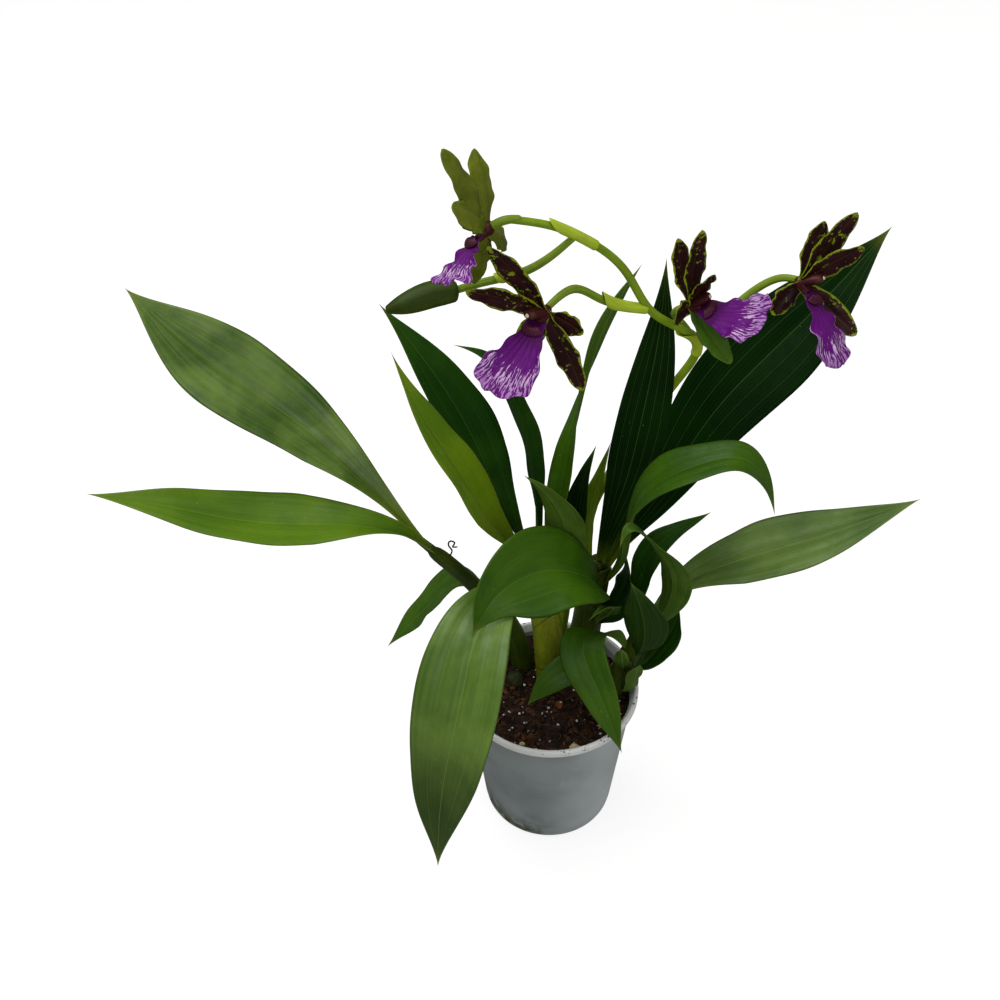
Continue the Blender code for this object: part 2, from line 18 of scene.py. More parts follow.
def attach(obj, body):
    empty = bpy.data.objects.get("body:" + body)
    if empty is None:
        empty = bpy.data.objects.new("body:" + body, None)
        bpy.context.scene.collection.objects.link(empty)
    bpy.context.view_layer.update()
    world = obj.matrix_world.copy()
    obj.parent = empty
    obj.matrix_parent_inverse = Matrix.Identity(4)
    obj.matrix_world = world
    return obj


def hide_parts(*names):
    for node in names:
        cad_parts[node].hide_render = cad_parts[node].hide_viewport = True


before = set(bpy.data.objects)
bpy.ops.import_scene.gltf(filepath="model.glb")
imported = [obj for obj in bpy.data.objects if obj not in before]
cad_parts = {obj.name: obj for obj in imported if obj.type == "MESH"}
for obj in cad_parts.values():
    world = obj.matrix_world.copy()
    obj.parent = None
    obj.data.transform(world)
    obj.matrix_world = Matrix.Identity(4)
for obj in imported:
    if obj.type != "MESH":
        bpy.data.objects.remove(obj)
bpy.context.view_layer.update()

BODY = "root"
MM = 0.001
MAP_MM = 0.01
LOG = logging.getLogger("orchid")

BLADE_MAP = "blade_map"
BLADE_SIZE = "blade_size"
FAN_MAP = "fan_map"
TUBE_MAP = "tube_map"

# How far a tube's two end rings stand out, and how wide they are, in parts of its radius
END_REACH = (0.22, 0.34)
END_WIDTH = (0.82, 0.45)

Colour = tuple[float, float, float]
Point = tuple[float, float, float]
Rows = np.ndarray
Skin = bpy.types.Material


# ---------------------------------------------------------------- plain geometry


def unit(vector: np.ndarray) -> np.ndarray:
    """Return the vectors along the last axis at length one."""
    size = np.linalg.norm(vector, axis=-1, keepdims=True)
    return vector / np.maximum(size, 1e-9)


def smooth_curve(points: tuple, at: np.ndarray) -> np.ndarray:
    """Read the natural cubic spline through some points.

    Args:
        points: The points that it passes through.
        at: Fractions 0 to 1 of its length.

    Returns:
        One point for each fraction.
    """
    pts = np.array(points, dtype=float)
    chord = np.linalg.norm(np.diff(pts, axis=0), axis=1)
    knots = np.concatenate(([0.0], np.cumsum(chord)))
    count = len(pts)
    system, right = np.eye(count), np.zeros_like(pts)
    for i in range(1, count - 1):
        system[i, i - 1:i + 2] = chord[i - 1], 2 * (chord[i - 1] + chord[i]), chord[i]
        right[i] = 6 * ((pts[i + 1] - pts[i]) / chord[i] - (pts[i] - pts[i - 1]) / chord[i - 1])
    bend = np.linalg.solve(system, right)
    place = np.asarray(at) * knots[-1]
    i = np.clip(np.searchsorted(knots, place) - 1, 0, count - 2)
    step = chord[i][:, None]
    before, after = (place - knots[i])[:, None], (knots[i + 1] - place)[:, None]
    return ((bend[i] * after ** 3 + bend[i + 1] * before ** 3) / (6 * step)
            + (pts[i] / step - bend[i] * step / 6) * after
            + (pts[i + 1] / step - bend[i + 1] * step / 6) * before)


def ease(value: np.ndarray, low: float = 0.0, high: float = 1.0) -> np.ndarray:
    """Rise smoothly from 0 at low to 1 at high."""
    x = np.clip((np.asarray(value, dtype=float) - low) / (high - low), 0.0, 1.0)
    return x * x * (3 - 2 * x)


def moving_frame(line: Rows, first: Rows | None = None) -> tuple[Rows, Rows, Rows]:
    """Carry a pair of cross directions along a line without twisting them.

    Args:
        line: Points along the line.
        first: The direction that the first cross direction keeps nearest to.

    Returns:
        The tangents and the two cross directions, one row for each point.
    """
    tangents = unit(np.gradient(line, axis=0))
    start = first if first is not None else np.array((0.0, -1.0, 0.3))
    across = unit(start - tangents[0] * (start @ tangents[0]))
    sides = []
    for tangent in tangents:
        across = unit(across - tangent * (across @ tangent))
        sides.append(across)
    sides = np.array(sides)
    return tangents, sides, np.cross(tangents, sides)


@dataclass
class Shell:
    """A thin closed sheet: its middle surface in mm, half its thickness there, and its maps."""

    points: np.ndarray
    half: np.ndarray
    maps: dict[str, np.ndarray]

    def normals(self) -> np.ndarray:
        """Return the upper side's direction at each point."""
        along = np.gradient(self.points, axis=0)
        across = np.gradient(self.points, axis=1)
        normal = np.cross(across, along)
        normal[-1] = normal[-2]
        return unit(normal)

    def mesh(self, name: str) -> bpy.types.Mesh:
        """Build the closed mesh, with its upper side in the first material and its underside in the second.

        Args:
            name: The mesh's name.

        Returns:
            A mesh in metres whose edges and tip are shared by both sides.
        """
        rows, columns = self.half.shape
        lift = self.normals() * self.half[..., None]
        top = np.arange(rows * columns).reshape(rows, columns)
        top[-1] = top[-1, 0]
        low = top + rows * columns
        low[:, 0], low[:, -1], low[-1] = top[:, 0], top[:, -1], top[-1]
        places = np.concatenate(((self.points + lift).reshape(-1, 3), (self.points - lift).reshape(-1, 3)))
        places[top[:, 0]], places[top[:, -1]] = self.points[:, 0], self.points[:, -1]
        places[top[-1, 0]] = self.points[-1].mean(axis=0)
        faces, cells, sides = [], [], []
        for i in range(rows - 1):
            for j in range(columns - 1):
                corners = [(i, j), (i, j + 1), (i + 1, j + 1), (i + 1, j)]
                if i == rows - 2:
                    corners = corners[:3]
                for side, order in ((top, corners), (low, corners[::-1])):
                    faces.append([int(side[c]) for c in order])
                    cells.extend(order)
                    sides.append(0 if side is top else 1)
        for j in range(columns - 1):
            ring = [(top, j + 1), (top, j), (low, j), (low, j + 1)]
            seen, face, used = set(), [], []
            for side, k in ring:
                index = int(side[0, k])
                if index not in seen:
                    seen.add(index)
                    face.append(index)
                    used.append((0, k))
            faces.append(face)
            cells.extend(used)
            sides.append(1)
        mesh = bpy.data.meshes.new(name)
        mesh.from_pydata((places * MM).tolist(), [], faces)
        cell = np.array(cells)
        for key, values in self.maps.items():
            layer = mesh.uv_layers.new(name=key)
            layer.data.foreach_set("uv", values[cell[:, 0], cell[:, 1]].astype(np.float32).ravel())
        mesh.polygons.foreach_set("material_index", np.array(sides, dtype=np.int32))
        remove_loose(mesh)
        mesh.shade_smooth()
        return mesh


def remove_loose(mesh: bpy.types.Mesh) -> None:
    """Drop the points of a mesh that no face uses."""
    bm = bmesh.new()
    bm.from_mesh(mesh)
    loose = [v for v in bm.verts if not v.link_faces]
    bmesh.ops.delete(bm, geom=loose, context="VERTS")
    bm.to_mesh(mesh)
    bm.free()


@dataclass
class Sweep:
    """A closed tube along a line, in mm, with rounded ends and an outline that may be ribbed."""

    line: np.ndarray
    radii: np.ndarray
    sides: int = 20
    ribs: int = 0
    rib_depth: float = 0.0
    twist: float = 0.0
    flat: float = 1.0

    def mesh(self, name: str) -> bpy.types.Mesh:
        """Build the tube.

        Args:
            name: The mesh's name.

        Returns:
            A closed mesh in metres.
        """
        line, radii = self._with_ends()
        _, sides, over = moving_frame(line)
        angles = np.linspace(0.0, math.tau, self.sides, endpoint=False)
        length = np.concatenate(([0.0], np.cumsum(np.linalg.norm(np.diff(line, axis=0), axis=1))))
        turn = angles[None, :] + self.twist * length[:, None]
        swell = 1.0 + self.rib_depth * np.cos(self.ribs * angles)[None, :]
        reach = radii[:, None] * swell
        rings = (line[:, None] + sides[:, None] * (reach * np.cos(turn))[..., None]
                 + over[:, None] * (reach * self.flat * np.sin(turn))[..., None])
        count, around = len(line), self.sides
        places = np.concatenate((rings.reshape(-1, 3), line[:1], line[-1:]))
        faces, uvs = [], []
        reach_mm = length * MAP_MM
        for i in range(count - 1):
            for j in range(around):
                k = (j + 1) % around
                faces.append((i * around + j, i * around + k, (i + 1) * around + k, (i + 1) * around + j))
                u0, u1 = j / around, (j + 1) / around
                low, high = reach_mm[i], reach_mm[i + 1]
                uvs.extend(((u0, low), (u1, low), (u1, high), (u0, high)))
        for j in range(around):
            k = (j + 1) % around
            u0, u1 = j / around, (j + 1) / around
            faces.append((k, j, count * around))
            uvs.extend(((u1, reach_mm[0]), (u0, reach_mm[0]), (u0, reach_mm[0])))
            last = (count - 1) * around
            faces.append((last + j, last + k, count * around + 1))
            uvs.extend(((u0, reach_mm[-1]), (u1, reach_mm[-1]), (u0, reach_mm[-1])))
        mesh = bpy.data.meshes.new(name)
        mesh.from_pydata((places * MM).tolist(), [], faces)
        layer = mesh.uv_layers.new(name=TUBE_MAP)
        layer.data.foreach_set("uv", np.array(uvs, dtype=np.float32).ravel())
        mesh.shade_smooth()
        return mesh

    def _with_ends(self) -> tuple[np.ndarray, np.ndarray]:
        """Add small rings that round off both ends."""
        first, last = self.radii[0], self.radii[-1]
        out = unit(self.line[0] - self.line[1]) * first
        on = unit(self.line[-1] - self.line[-2]) * last
        near, far = END_REACH
        wide, narrow = END_WIDTH
        line = np.concatenate((
            [self.line[0] + out * far, self.line[0] + out * near], self.line,
            [self.line[-1] + on * near, self.line[-1] + on * far]))
        radii = np.concatenate(([first * narrow, first * wide], self.radii, [last * wide, last * narrow]))
        return line, radii


def smooth_tube(points: tuple, radii: tuple, spacing: float = 1.5, **shape) -> Sweep:
    """Return a tube along the smooth line through some points.

    Args:
        points: The points of the line, in mm.
        radii: Radii spread evenly along it.
        spacing: The distance between its rings.
        shape: Further fields of Sweep.

    Returns:
        The tube, not yet a mesh.
    """
    length = float(np.linalg.norm(np.diff(np.array(points, dtype=float), axis=0), axis=1).sum())
    at = np.linspace(0.0, 1.0, max(int(length / spacing), 6))
    knots = np.linspace(0.0, 1.0, len(radii))
    table = tuple(zip(knots * length, radii))
    if len(radii) > 2:
        widths = smooth_curve(table, at)[:, 1]
        widths = np.clip(widths, min(radii) * 0.8, max(radii) * 1.1)
    else:
        widths = np.interp(at, knots, radii)
    return Sweep(smooth_curve(points, at), widths, **shape)


def turned_mesh(name: str, profile: np.ndarray, sides: int) -> bpy.types.Mesh:
    """Turn a profile of radius and height about Z into a mesh.

    Args:
        name: The mesh's name.
        profile: Rows of radius and height in mm, from axis to axis.
        sides: The number of flats round it.

    Returns:
        A closed mesh in metres.
    """
    bm = bmesh.new()
    rings = []
    for radius, height in profile:
        if radius < 1e-6:
            rings.append([bm.verts.new((0.0, 0.0, height * MM))])
            continue
        rings.append([bm.verts.new((radius * MM * math.cos(math.tau * k / sides),
                                    radius * MM * math.sin(math.tau * k / sides), height * MM))
                      for k in range(sides)])
    for low, high in zip(rings, rings[1:]):
        for k in range(sides):
            after = (k + 1) % sides
            if len(low) == 1:
                bm.faces.new((low[0], high[k], high[after]))
            elif len(high) == 1:
                bm.faces.new((low[k], low[after], high[0]))
            else:
                bm.faces.new((low[k], low[after], high[after], high[k]))
    bmesh.ops.recalc_face_normals(bm, faces=bm.faces)
    mesh = bpy.data.meshes.new(name)
    bm.to_mesh(mesh)
    bm.free()
    mesh.shade_smooth()
    return mesh


def join_meshes(name: str, meshes: list[bpy.types.Mesh]) -> bpy.types.Mesh:
    """Put several meshes into one and drop the sources.

    Args:
        name: The new mesh's name.
        meshes: The meshes to put together.

    Returns:
        One mesh that holds them all.
    """
    bm = bmesh.new()
    for mesh in meshes:
        bm.from_mesh(mesh)
        bpy.data.meshes.remove(mesh)
    whole = bpy.data.meshes.new(name)
    bm.to_mesh(whole)
    bm.free()
    whole.shade_smooth()
    return whole


def add_piece(name: str, mesh: bpy.types.Mesh, materials: tuple[Skin, ...],
              nodes: tuple[str, ...] = ()) -> bpy.types.Object:
    """Add a finished piece that rides on the plant's one body.

    Args:
        name: The piece's name.
        mesh: Its mesh, already in place.
        materials: The materials of its faces, in order.
        nodes: The CAD nodes that it stands for.

    Returns:
        The new object.
    """
    for material in materials:
        mesh.materials.append(material)
    piece = bpy.data.objects.new(name, mesh)
    bpy.context.scene.collection.objects.link(piece)
    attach(piece, BODY)
    if nodes:
        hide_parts(*nodes)
    LOG.info("%-34s %6d faces, stands for %s", name, len(mesh.polygons), ", ".join(nodes) or "no node")
    return piece


# ---------------------------------------------------------------- shader building


class Graph:
    """Adds shader nodes to one tree and joins them."""

    def __init__(self, tree: bpy.types.NodeTree) -> None:
        """Keep the tree that the nodes go into."""
        self.tree = tree

    def add(self, kind: str, **settings: object) -> bpy.types.Node:
        """Add a node and set its options."""
        node = self.tree.nodes.new(kind)
        for key, value in settings.items():
            setattr(node, key, value)
        return node

    def feed(self, socket: bpy.types.NodeSocket, value: object) -> None:
        """Join a socket to another node's output, or give it a constant."""
        if isinstance(value, bpy.types.NodeSocket):
            self.tree.links.new(value, socket)
        elif isinstance(value, tuple) and len(value) == 3 and socket.type == "RGBA":
            socket.default_value = (*value, 1.0)
        else:
            socket.default_value = value

    def math(self, operation: str, a: object, b: object = 0.0, clamp: bool = False) -> bpy.types.NodeSocket:
        """Return the result of a sum on one or two values."""
        node = self.add("ShaderNodeMath", operation=operation, use_clamp=clamp)
        self.feed(node.inputs[0], a)
        self.feed(node.inputs[1], b)
        return node.outputs[0]

    def times(self, a: object, b: object) -> bpy.types.NodeSocket:
        """Return a times b."""
        return self.math("MULTIPLY", a, b)

    def plus(self, a: object, b: object) -> bpy.types.NodeSocket:
        """Return a plus b."""
        return self.math("ADD", a, b)

    def minus(self, a: object, b: object) -> bpy.types.NodeSocket:
        """Return a less b."""
        return self.math("SUBTRACT", a, b)

    def rise(self, value: object, low: object, high: object, top: float = 1.0) -> bpy.types.NodeSocket:
        """Rise smoothly from 0 at low to top at high."""
        node = self.add("ShaderNodeMapRange", interpolation_type="SMOOTHSTEP")
        for key, entry in (("Value", value), ("From Min", low), ("From Max", high), ("To Min", 0.0),
                           ("To Max", top)):
            self.feed(node.inputs[key], entry)
        return node.outputs["Result"]

    def scaled(self, value: object, low: float, high: float) -> bpy.types.NodeSocket:
        """Spread a 0 to 1 value over another range."""
        node = self.add("ShaderNodeMapRange")
        for key, entry in (("Value", value), ("To Min", low), ("To Max", high)):
            self.feed(node.inputs[key], entry)
        return node.outputs["Result"]

    def mix(self, factor: object, a: object, b: object) -> bpy.types.NodeSocket:
        """Mix two colours."""
        node = self.add("ShaderNodeMix", data_type="RGBA")
        self.feed(node.inputs["Factor"], factor)
        colours = [s for s in node.inputs if s.type == "RGBA"]
        self.feed(colours[0], a)
        self.feed(colours[1], b)
        return next(s for s in node.outputs if s.type == "RGBA")

    def noise(self, vector: object, scale: object, detail: float = 3.0, rough: float = 0.5,
              warp: float = 0.0) -> bpy.types.NodeSocket:
        """Return a noise value between 0 and 1."""
        node = self.add("ShaderNodeTexNoise")
        for key, entry in (("Vector", vector), ("Scale", scale), ("Detail", detail), ("Roughness", rough),
                           ("Distortion", warp)):
            self.feed(node.inputs[key], entry)
        return node.outputs[0]

    def cells(self, vector: object, scale: object) -> bpy.types.NodeSocket:
        """Return the distance to the nearest of many scattered points."""
        node = self.add("ShaderNodeTexVoronoi")
        self.feed(node.inputs["Vector"], vector)
        self.feed(node.inputs["Scale"], scale)
        return node.outputs["Distance"]

    def place(self) -> bpy.types.NodeSocket:
        """Return the point on the object, in metres."""
        return self.add("ShaderNodeTexCoord").outputs["Object"]

    def flat(self, name: str) -> tuple[bpy.types.NodeSocket, bpy.types.NodeSocket]:
        """Return the two coordinates of a named map."""
        split = self.add("ShaderNodeSeparateXYZ")
        self.feed(split.inputs[0], self.add("ShaderNodeUVMap", uv_map=name).outputs["UV"])
        return split.outputs[0], split.outputs[1]

    def vector(self, x: object, y: object, z: object = 0.0) -> bpy.types.NodeSocket:
        """Return a vector of three values."""
        node = self.add("ShaderNodeCombineXYZ")
        for socket, value in zip(node.inputs, (x, y, z)):
            self.feed(socket, value)
        return node.outputs[0]

    def use(self, group: bpy.types.NodeTree, **values: object) -> bpy.types.Node:
        """Place a shared group and give its inputs, whose spaces are written as underscores."""
        node = self.add("ShaderNodeGroup", node_tree=group)
        for key, value in values.items():
            self.feed(node.inputs[key.replace("_", " ")], value)
        return node


class SharedGroup:
    """A node group that several finishes use: its tree is made once."""

    def __init__(self, name: str, inputs: dict[str, float], outputs: tuple[str, ...]) -> None:
        """Make the empty group with its named number sockets.

        Args:
            name: The group's name.
            inputs: The default value of each input.
            outputs: The name of each output.
        """
        self.tree = bpy.data.node_groups.new(name, "ShaderNodeTree")
        for key, value in inputs.items():
            socket = self.tree.interface.new_socket(name=key, in_out="INPUT", socket_type="NodeSocketFloat")
            socket.default_value = value
        for key in outputs:
            self.tree.interface.new_socket(name=key, in_out="OUTPUT", socket_type="NodeSocketFloat")
        self.graph = Graph(self.tree)
        self.entry = self.graph.add("NodeGroupInput").outputs
        self.exit = self.graph.add("NodeGroupOutput").inputs


def blade_veins() -> bpy.types.NodeTree:
    """Build the group that draws a blade's parallel veins, its midrib and its margin."""
    group = SharedGroup("blade_veins", {"Lines": 3.0, "Width mm": 0.3, "Waver": 0.02},
                        ("Vein", "Fine", "Midrib", "Margin", "Along", "Across"))
    g = group.graph
    u, along = g.flat(BLADE_MAP)
    half, _ = g.flat(BLADE_SIZE)
    half_mm = g.times(half, 1 / MAP_MM)
    across = g.minus(g.times(u, 2.0), 1.0)
    drift = g.times(g.minus(g.noise(g.place(), 26.0, 2.0), 0.5), group.entry["Waver"])
    moved = g.plus(across, drift)

    def line(count: object, width: object) -> bpy.types.NodeSocket:
        """Draw evenly spaced lines of a real width."""
        x = g.times(moved, count)
        gap = g.math("ABSOLUTE", g.minus(x, g.math("ROUND", x)))
        gap_mm = g.times(g.math("DIVIDE", gap, count), half_mm)
        return g.minus(1.0, g.rise(gap_mm, 0.0, width))

    fine_count = g.times(group.entry["Lines"], 4.0)
    middle_mm = g.times(g.math("ABSOLUTE", moved), half_mm)
    rim_mm = g.times(g.minus(1.0, g.math("ABSOLUTE", across)), half_mm)
    g.feed(group.exit["Vein"], line(group.entry["Lines"], group.entry["Width mm"]))
    g.feed(group.exit["Fine"], line(fine_count, g.times(group.entry["Width mm"], 0.8)))
    g.feed(group.exit["Midrib"], g.minus(1.0, g.rise(middle_mm, 0.0, 0.6)))
    g.feed(group.exit["Margin"], g.minus(1.0, g.rise(rim_mm, 0.1, 0.9)))
    g.feed(group.exit["Along"], along)
    g.feed(group.exit["Across"], across)
    return group.tree


def mottle() -> bpy.types.NodeTree:
    """Build the group that gives soft patches."""
    group = SharedGroup("mottle", {"Scale": 40.0, "Low": 0.35, "High": 0.65}, ("Mask",))
    g = group.graph
    cloud = g.noise(g.place(), group.entry["Scale"], 5.0, 0.55, 0.3)
    g.feed(group.exit["Mask"], g.rise(cloud, group.entry["Low"], group.entry["High"]))
    return group.tree


def specks() -> bpy.types.NodeTree:
    """Build the group that scatters small spots of which only some show."""
    group = SharedGroup("specks", {"Scale": 300.0, "Size": 0.12, "Share": 0.5}, ("Mask",))
    g = group.graph
    near = g.cells(g.place(), group.entry["Scale"])
    spot = g.minus(1.0, g.rise(near, g.times(group.entry["Size"], 0.6), group.entry["Size"]))
    some = g.noise(g.place(), g.times(group.entry["Scale"], 0.31), 2.0)
    keep = g.rise(some, group.entry["Share"], g.plus(group.entry["Share"], 0.05))
    g.feed(group.exit["Mask"], g.times(spot, keep))
    return group.tree


class Groups:
    """Holds the shared groups, each made when a finish first asks for it."""

    makers = {"veins": blade_veins, "mottle": mottle, "specks": specks}
    made: dict[str, bpy.types.NodeTree] = {}

    @classmethod
    def get(cls, name: str) -> bpy.types.NodeTree:
        """Return a shared group by name."""
        if name not in cls.made:
            cls.made[name] = cls.makers[name]()
        return cls.made[name]


def new_material(name: str) -> tuple[bpy.types.Material, Graph, bpy.types.Node]:
    """Return a fresh material with its graph and its Principled shader."""
    material = bpy.data.materials.new(name)
    material.use_nodes = True
    return material, Graph(material.node_tree), material.node_tree.nodes["Principled BSDF"]


def relief(g: Graph, shader: bpy.types.Node, height: bpy.types.NodeSocket, depth_mm: float) -> None:
    """Feed a height of the given real depth to a shader as bump."""
    bump = g.add("ShaderNodeBump")
    bump.inputs["Strength"].default_value = 1.0
    bump.inputs["Distance"].default_value = depth_mm * MM
    g.feed(bump.inputs["Height"], height)
    g.feed(shader.inputs["Normal"], bump.outputs["Normal"])


# ---------------------------------------------------------------- finishes


@dataclass(frozen=True)
class LeafFinish:
    """The satin skin of a leaf: two greens, paler veins, a thin light margin, a yellower tip and, where
    end_shade is set, painted shade towards the end.
    """

    name: str
    deep: Colour
    light: Colour
    vein: Colour
    vein_show: float = 0.35
    lines: float = 2.0
    roughness: float = 0.40
    sheen: float = 0.22
    raised: float = 0.10
    base_show: float = 0.5
    base_reach: float = 0.16
    end_shade: float = 0.0
    tip: Colour = (0.16, 0.17, 0.02)
    foot: Colour = (0.17, 0.25, 0.006)
    dust: Colour = (0.4, 0.42, 0.34)
    shade_strength: float = 0.35

    def build(self) -> bpy.types.Material:
        """Make the material."""
        material, g, shader = new_material(self.name)
        veins = g.use(Groups.get("veins"), Lines=self.lines, Width_mm=0.28, Waver=0.03).outputs
        patch = g.use(Groups.get("mottle"), Scale=24.0, Low=0.32, High=0.68).outputs["Mask"]
        grain = g.use(Groups.get("mottle"), Scale=160.0, Low=0.3, High=0.7).outputs["Mask"]
        dust = g.use(Groups.get("specks"), Scale=230.0, Size=0.09, Share=0.6).outputs["Mask"]
        x = g.times(veins["Across"], 9.0)
        streak = g.noise(g.vector(x, g.times(veins["Along"], 1.6)), 1.0, 4.0, 0.6)
        tone = g.plus(g.times(patch, 0.68), g.times(g.rise(streak, 0.3, 0.7), 0.32))
        colour = g.mix(tone, self.deep, self.light)
        # Painted shade: where end_shade is set, the far part of the blade darkens towards a dim copy of its
        # deep green.
        shade = tuple(c * self.shade_strength for c in self.deep)
        colour = g.mix(g.rise(veins["Along"], 0.5, 0.8, self.end_shade), colour, shade)
        colour = g.mix(g.times(grain, 0.14), colour, self.deep)
        colour = g.mix(g.times(veins["Fine"], self.vein_show * 0.25), colour, self.vein)
        colour = g.mix(g.times(veins["Vein"], self.vein_show), colour, self.vein)
        colour = g.mix(g.times(veins["Midrib"], self.vein_show * 0.9), colour, self.vein)
        colour = g.mix(g.times(veins["Margin"], 0.45), colour, self.vein)
        colour = g.mix(g.rise(veins["Along"], 0.93, 1.0, 0.45), colour, self.tip)
        foot = g.minus(1.0, g.rise(veins["Along"], 0.0, self.base_reach))
        colour = g.mix(g.times(foot, self.base_show), colour, self.foot)
        colour = g.mix(g.times(dust, 0.4), colour, self.dust)
        g.feed(shader.inputs["Base Color"], colour)
        g.feed(shader.inputs["Roughness"], g.scaled(grain, self.roughness - 0.05, self.roughness + 0.1))
        shader.inputs["Specular IOR Level"].default_value = self.sheen
        height = g.plus(g.times(veins["Vein"], -0.7), g.times(veins["Fine"], -0.3))
        height = g.plus(height, g.times(grain, 0.25))
        relief(g, shader, height, self.raised)
        return material


class LeafTone(Enum):
    """The greens given to the plant's leaves; some hold painted shade, painted light or painted sheen, as
    noted at each.
    """

    # Painted sheen: the pale patch colour of this green is lightened to stand in for reflected light on the
    # leaf's upper face.
    SATIN = LeafFinish("leaf_satin_green", (0.05, 0.118, 0.006), (0.15, 0.255, 0.034), (0.22, 0.32, 0.06),
                       0.3, sheen=0.45)
    # Painted shade: the hanging end of this green darkens as if in shade (end_shade); its pale patches are
    # painted sheen, as in the green above.
    HANGING = LeafFinish("leaf_hanging_green", (0.046, 0.11, 0.005), (0.15, 0.255, 0.034),
                         (0.22, 0.32, 0.06), 0.3, sheen=0.45, end_shade=0.75)
    # Painted highlight: the pale patch colour of this green is lightened to stand in for the glossy band
    # along the leaf's upper half.
    GLOSSY = LeafFinish("leaf_glossy_green", (0.02, 0.062, 0.001), (0.145, 0.235, 0.04),
                        (0.18, 0.27, 0.03), 0.3, roughness=0.32, sheen=0.5, base_show=0.9,
                        base_reach=0.3)
    FRESH = LeafFinish("leaf_fresh_green", (0.045, 0.115, 0.001), (0.105, 0.2, 0.003), (0.18, 0.28, 0.02),
                       0.25)
    # Painted light: a fresh yellow-green brightened further to stand in for light shining through the leaf
    # from behind.
    BACKLIT = LeafFinish("leaf_backlit_green", (0.075, 0.165, 0.001), (0.15, 0.255, 0.002),
                        (0.22, 0.32, 0.02), 0.4, base_show=0.9, base_reach=0.6)
    MID = LeafFinish("leaf_mid_green", (0.018, 0.068, 0.0008), (0.054, 0.132, 0.002), (0.13, 0.22, 0.02),
                     0.3)
    # Painted shade: a darker copy of the leaf green, for leaves that stand in shade among the others.
    DARK = LeafFinish("leaf_dark_shade_green", (0.005, 0.034, 0.001), (0.018, 0.07, 0.002), (0.07, 0.14, 0.02),
                      0.35, sheen=0.1)
    # Painted shade: the leaf green darkened almost to black, for upright leaves whose faces stand in shade.
    DEEP = LeafFinish("leaf_deep_shade_green", (0.0008, 0.01, 0.0004), (0.0026, 0.02, 0.0008),
                      (0.05, 0.11, 0.02), 0.5, lines=3.0, roughness=0.46, sheen=0.04, base_show=0.8)
    UNDER = LeafFinish("leaf_underside", (0.035, 0.09, 0.004), (0.08, 0.155, 0.012), (0.15, 0.24, 0.04),
                       0.5, lines=3.0, roughness=0.5, sheen=0.15, raised=-0.15)
    # Painted shade: the underside green darkened, for the undersides of the shaded leaves.
    UNDER_DEEP = LeafFinish("leaf_shaded_underside", (0.008, 0.034, 0.002), (0.022, 0.06, 0.005),
                            (0.07, 0.13, 0.02), 0.5, lines=3.0, roughness=0.5, sheen=0.12, raised=-0.15)


@dataclass(frozen=True)
class TepalFinish:
    """A tepal's skin: maroon blotches that leave a net and a margin of yellow-green."""

    name: str = "tepal_inside"
    blotch: Colour = (0.018, 0.0022, 0.0030)
    ground: Colour = (0.22, 0.29, 0.006)
    cover: float = 1.0
    gloss: float = 0.25
    margin: tuple[float, float] = (0.46, 0.54)
    net: tuple[float, float] = (0.60, 0.65)

    def build(self) -> bpy.types.Material:
        """Make the material."""
        material, g, shader = new_material(self.name)
        veins = g.use(Groups.get("veins"), Lines=2.0, Width_mm=0.35, Waver=0.25).outputs
        place = g.place()
        wobble = g.noise(place, 420.0, 3.0, 0.6)
        rim = g.minus(1.0, g.math("ABSOLUTE", veins["Across"]))
        end = g.times(g.minus(1.0, veins["Along"]), 2.6)
        edge = g.math("MINIMUM", rim, end)
        inside = g.rise(g.plus(edge, g.times(wobble, 0.7)), *self.margin)
        gaps = g.rise(g.noise(place, 210.0, 3.0, 0.7, 0.6), *self.net)
        mask = g.times(g.math("SUBTRACT", inside, gaps, clamp=True), self.cover)
        shade = g.use(Groups.get("mottle"), Scale=90.0, Low=0.3, High=0.7).outputs["Mask"]
        dark = g.mix(shade, self.blotch, tuple(c * 2.2 for c in self.blotch))
        colour = g.mix(mask, self.ground, dark)
        colour = g.mix(g.times(veins["Midrib"], 0.08), colour, self.ground)
        g.feed(shader.inputs["Base Color"], colour)
        g.feed(shader.inputs["Roughness"], g.scaled(shade, 0.32, 0.45))
        shader.inputs["Specular IOR Level"].default_value = self.gloss
        relief(g, shader, g.plus(g.times(veins["Fine"], -0.5), wobble), 0.08)
        return material


@dataclass(frozen=True)
class LipFinish:
    """The lip's face: violet streaks that run out and break up over a lilac-white ground."""

    name: str = "lip_face"
    violet: Colour = (0.115, 0.002, 0.165)
    heart: Colour = (0.070, 0.002, 0.085)
    ground: Colour = (0.64, 0.46, 0.66)
    lilac: Colour = (0.32, 0.11, 0.42)
    reach: float = 0.0
    spokes: float = 120.0
    cover: float = 0.20
    fade: float = 0.265
    gloss: float = 0.15

    def build(self) -> bpy.types.Material:
        """Make the material."""
        material, g, shader = new_material(self.name)
        turn, out = g.flat(FAN_MAP)
        wavy = g.noise(g.place(), 150.0, 2.0)
        spoke = g.plus(g.times(turn, self.spokes), g.times(wavy, 2.2))
        broken = g.noise(g.vector(spoke, g.times(out, 4.5)), 1.0, 1.5, 0.5)
        fine = g.noise(g.vector(g.times(spoke, 1.9), g.times(out, 14.0)), 1.0, 2.0, 0.5)
        grain = g.plus(g.times(broken, 0.58), g.times(fine, 0.42))
        bar = g.plus(self.cover - self.reach, g.times(g.rise(out, 0.36, 0.88), self.fade))
        violet = g.rise(grain, bar, g.plus(bar, 0.05))
        veil = g.mix(g.rise(out, 0.72, 0.98, 0.75), self.ground, self.lilac)
        deep = g.mix(g.rise(out, 0.05, 0.45), self.heart, self.violet)
        colour = g.mix(violet, veil, deep)
        g.feed(shader.inputs["Base Color"], colour)
        g.feed(shader.inputs["Roughness"], g.scaled(fine, 0.42, 0.6))
        shader.inputs["Specular IOR Level"].default_value = self.gloss
        relief(g, shader, g.plus(g.times(broken, 0.8), fine), 0.12)
        return material


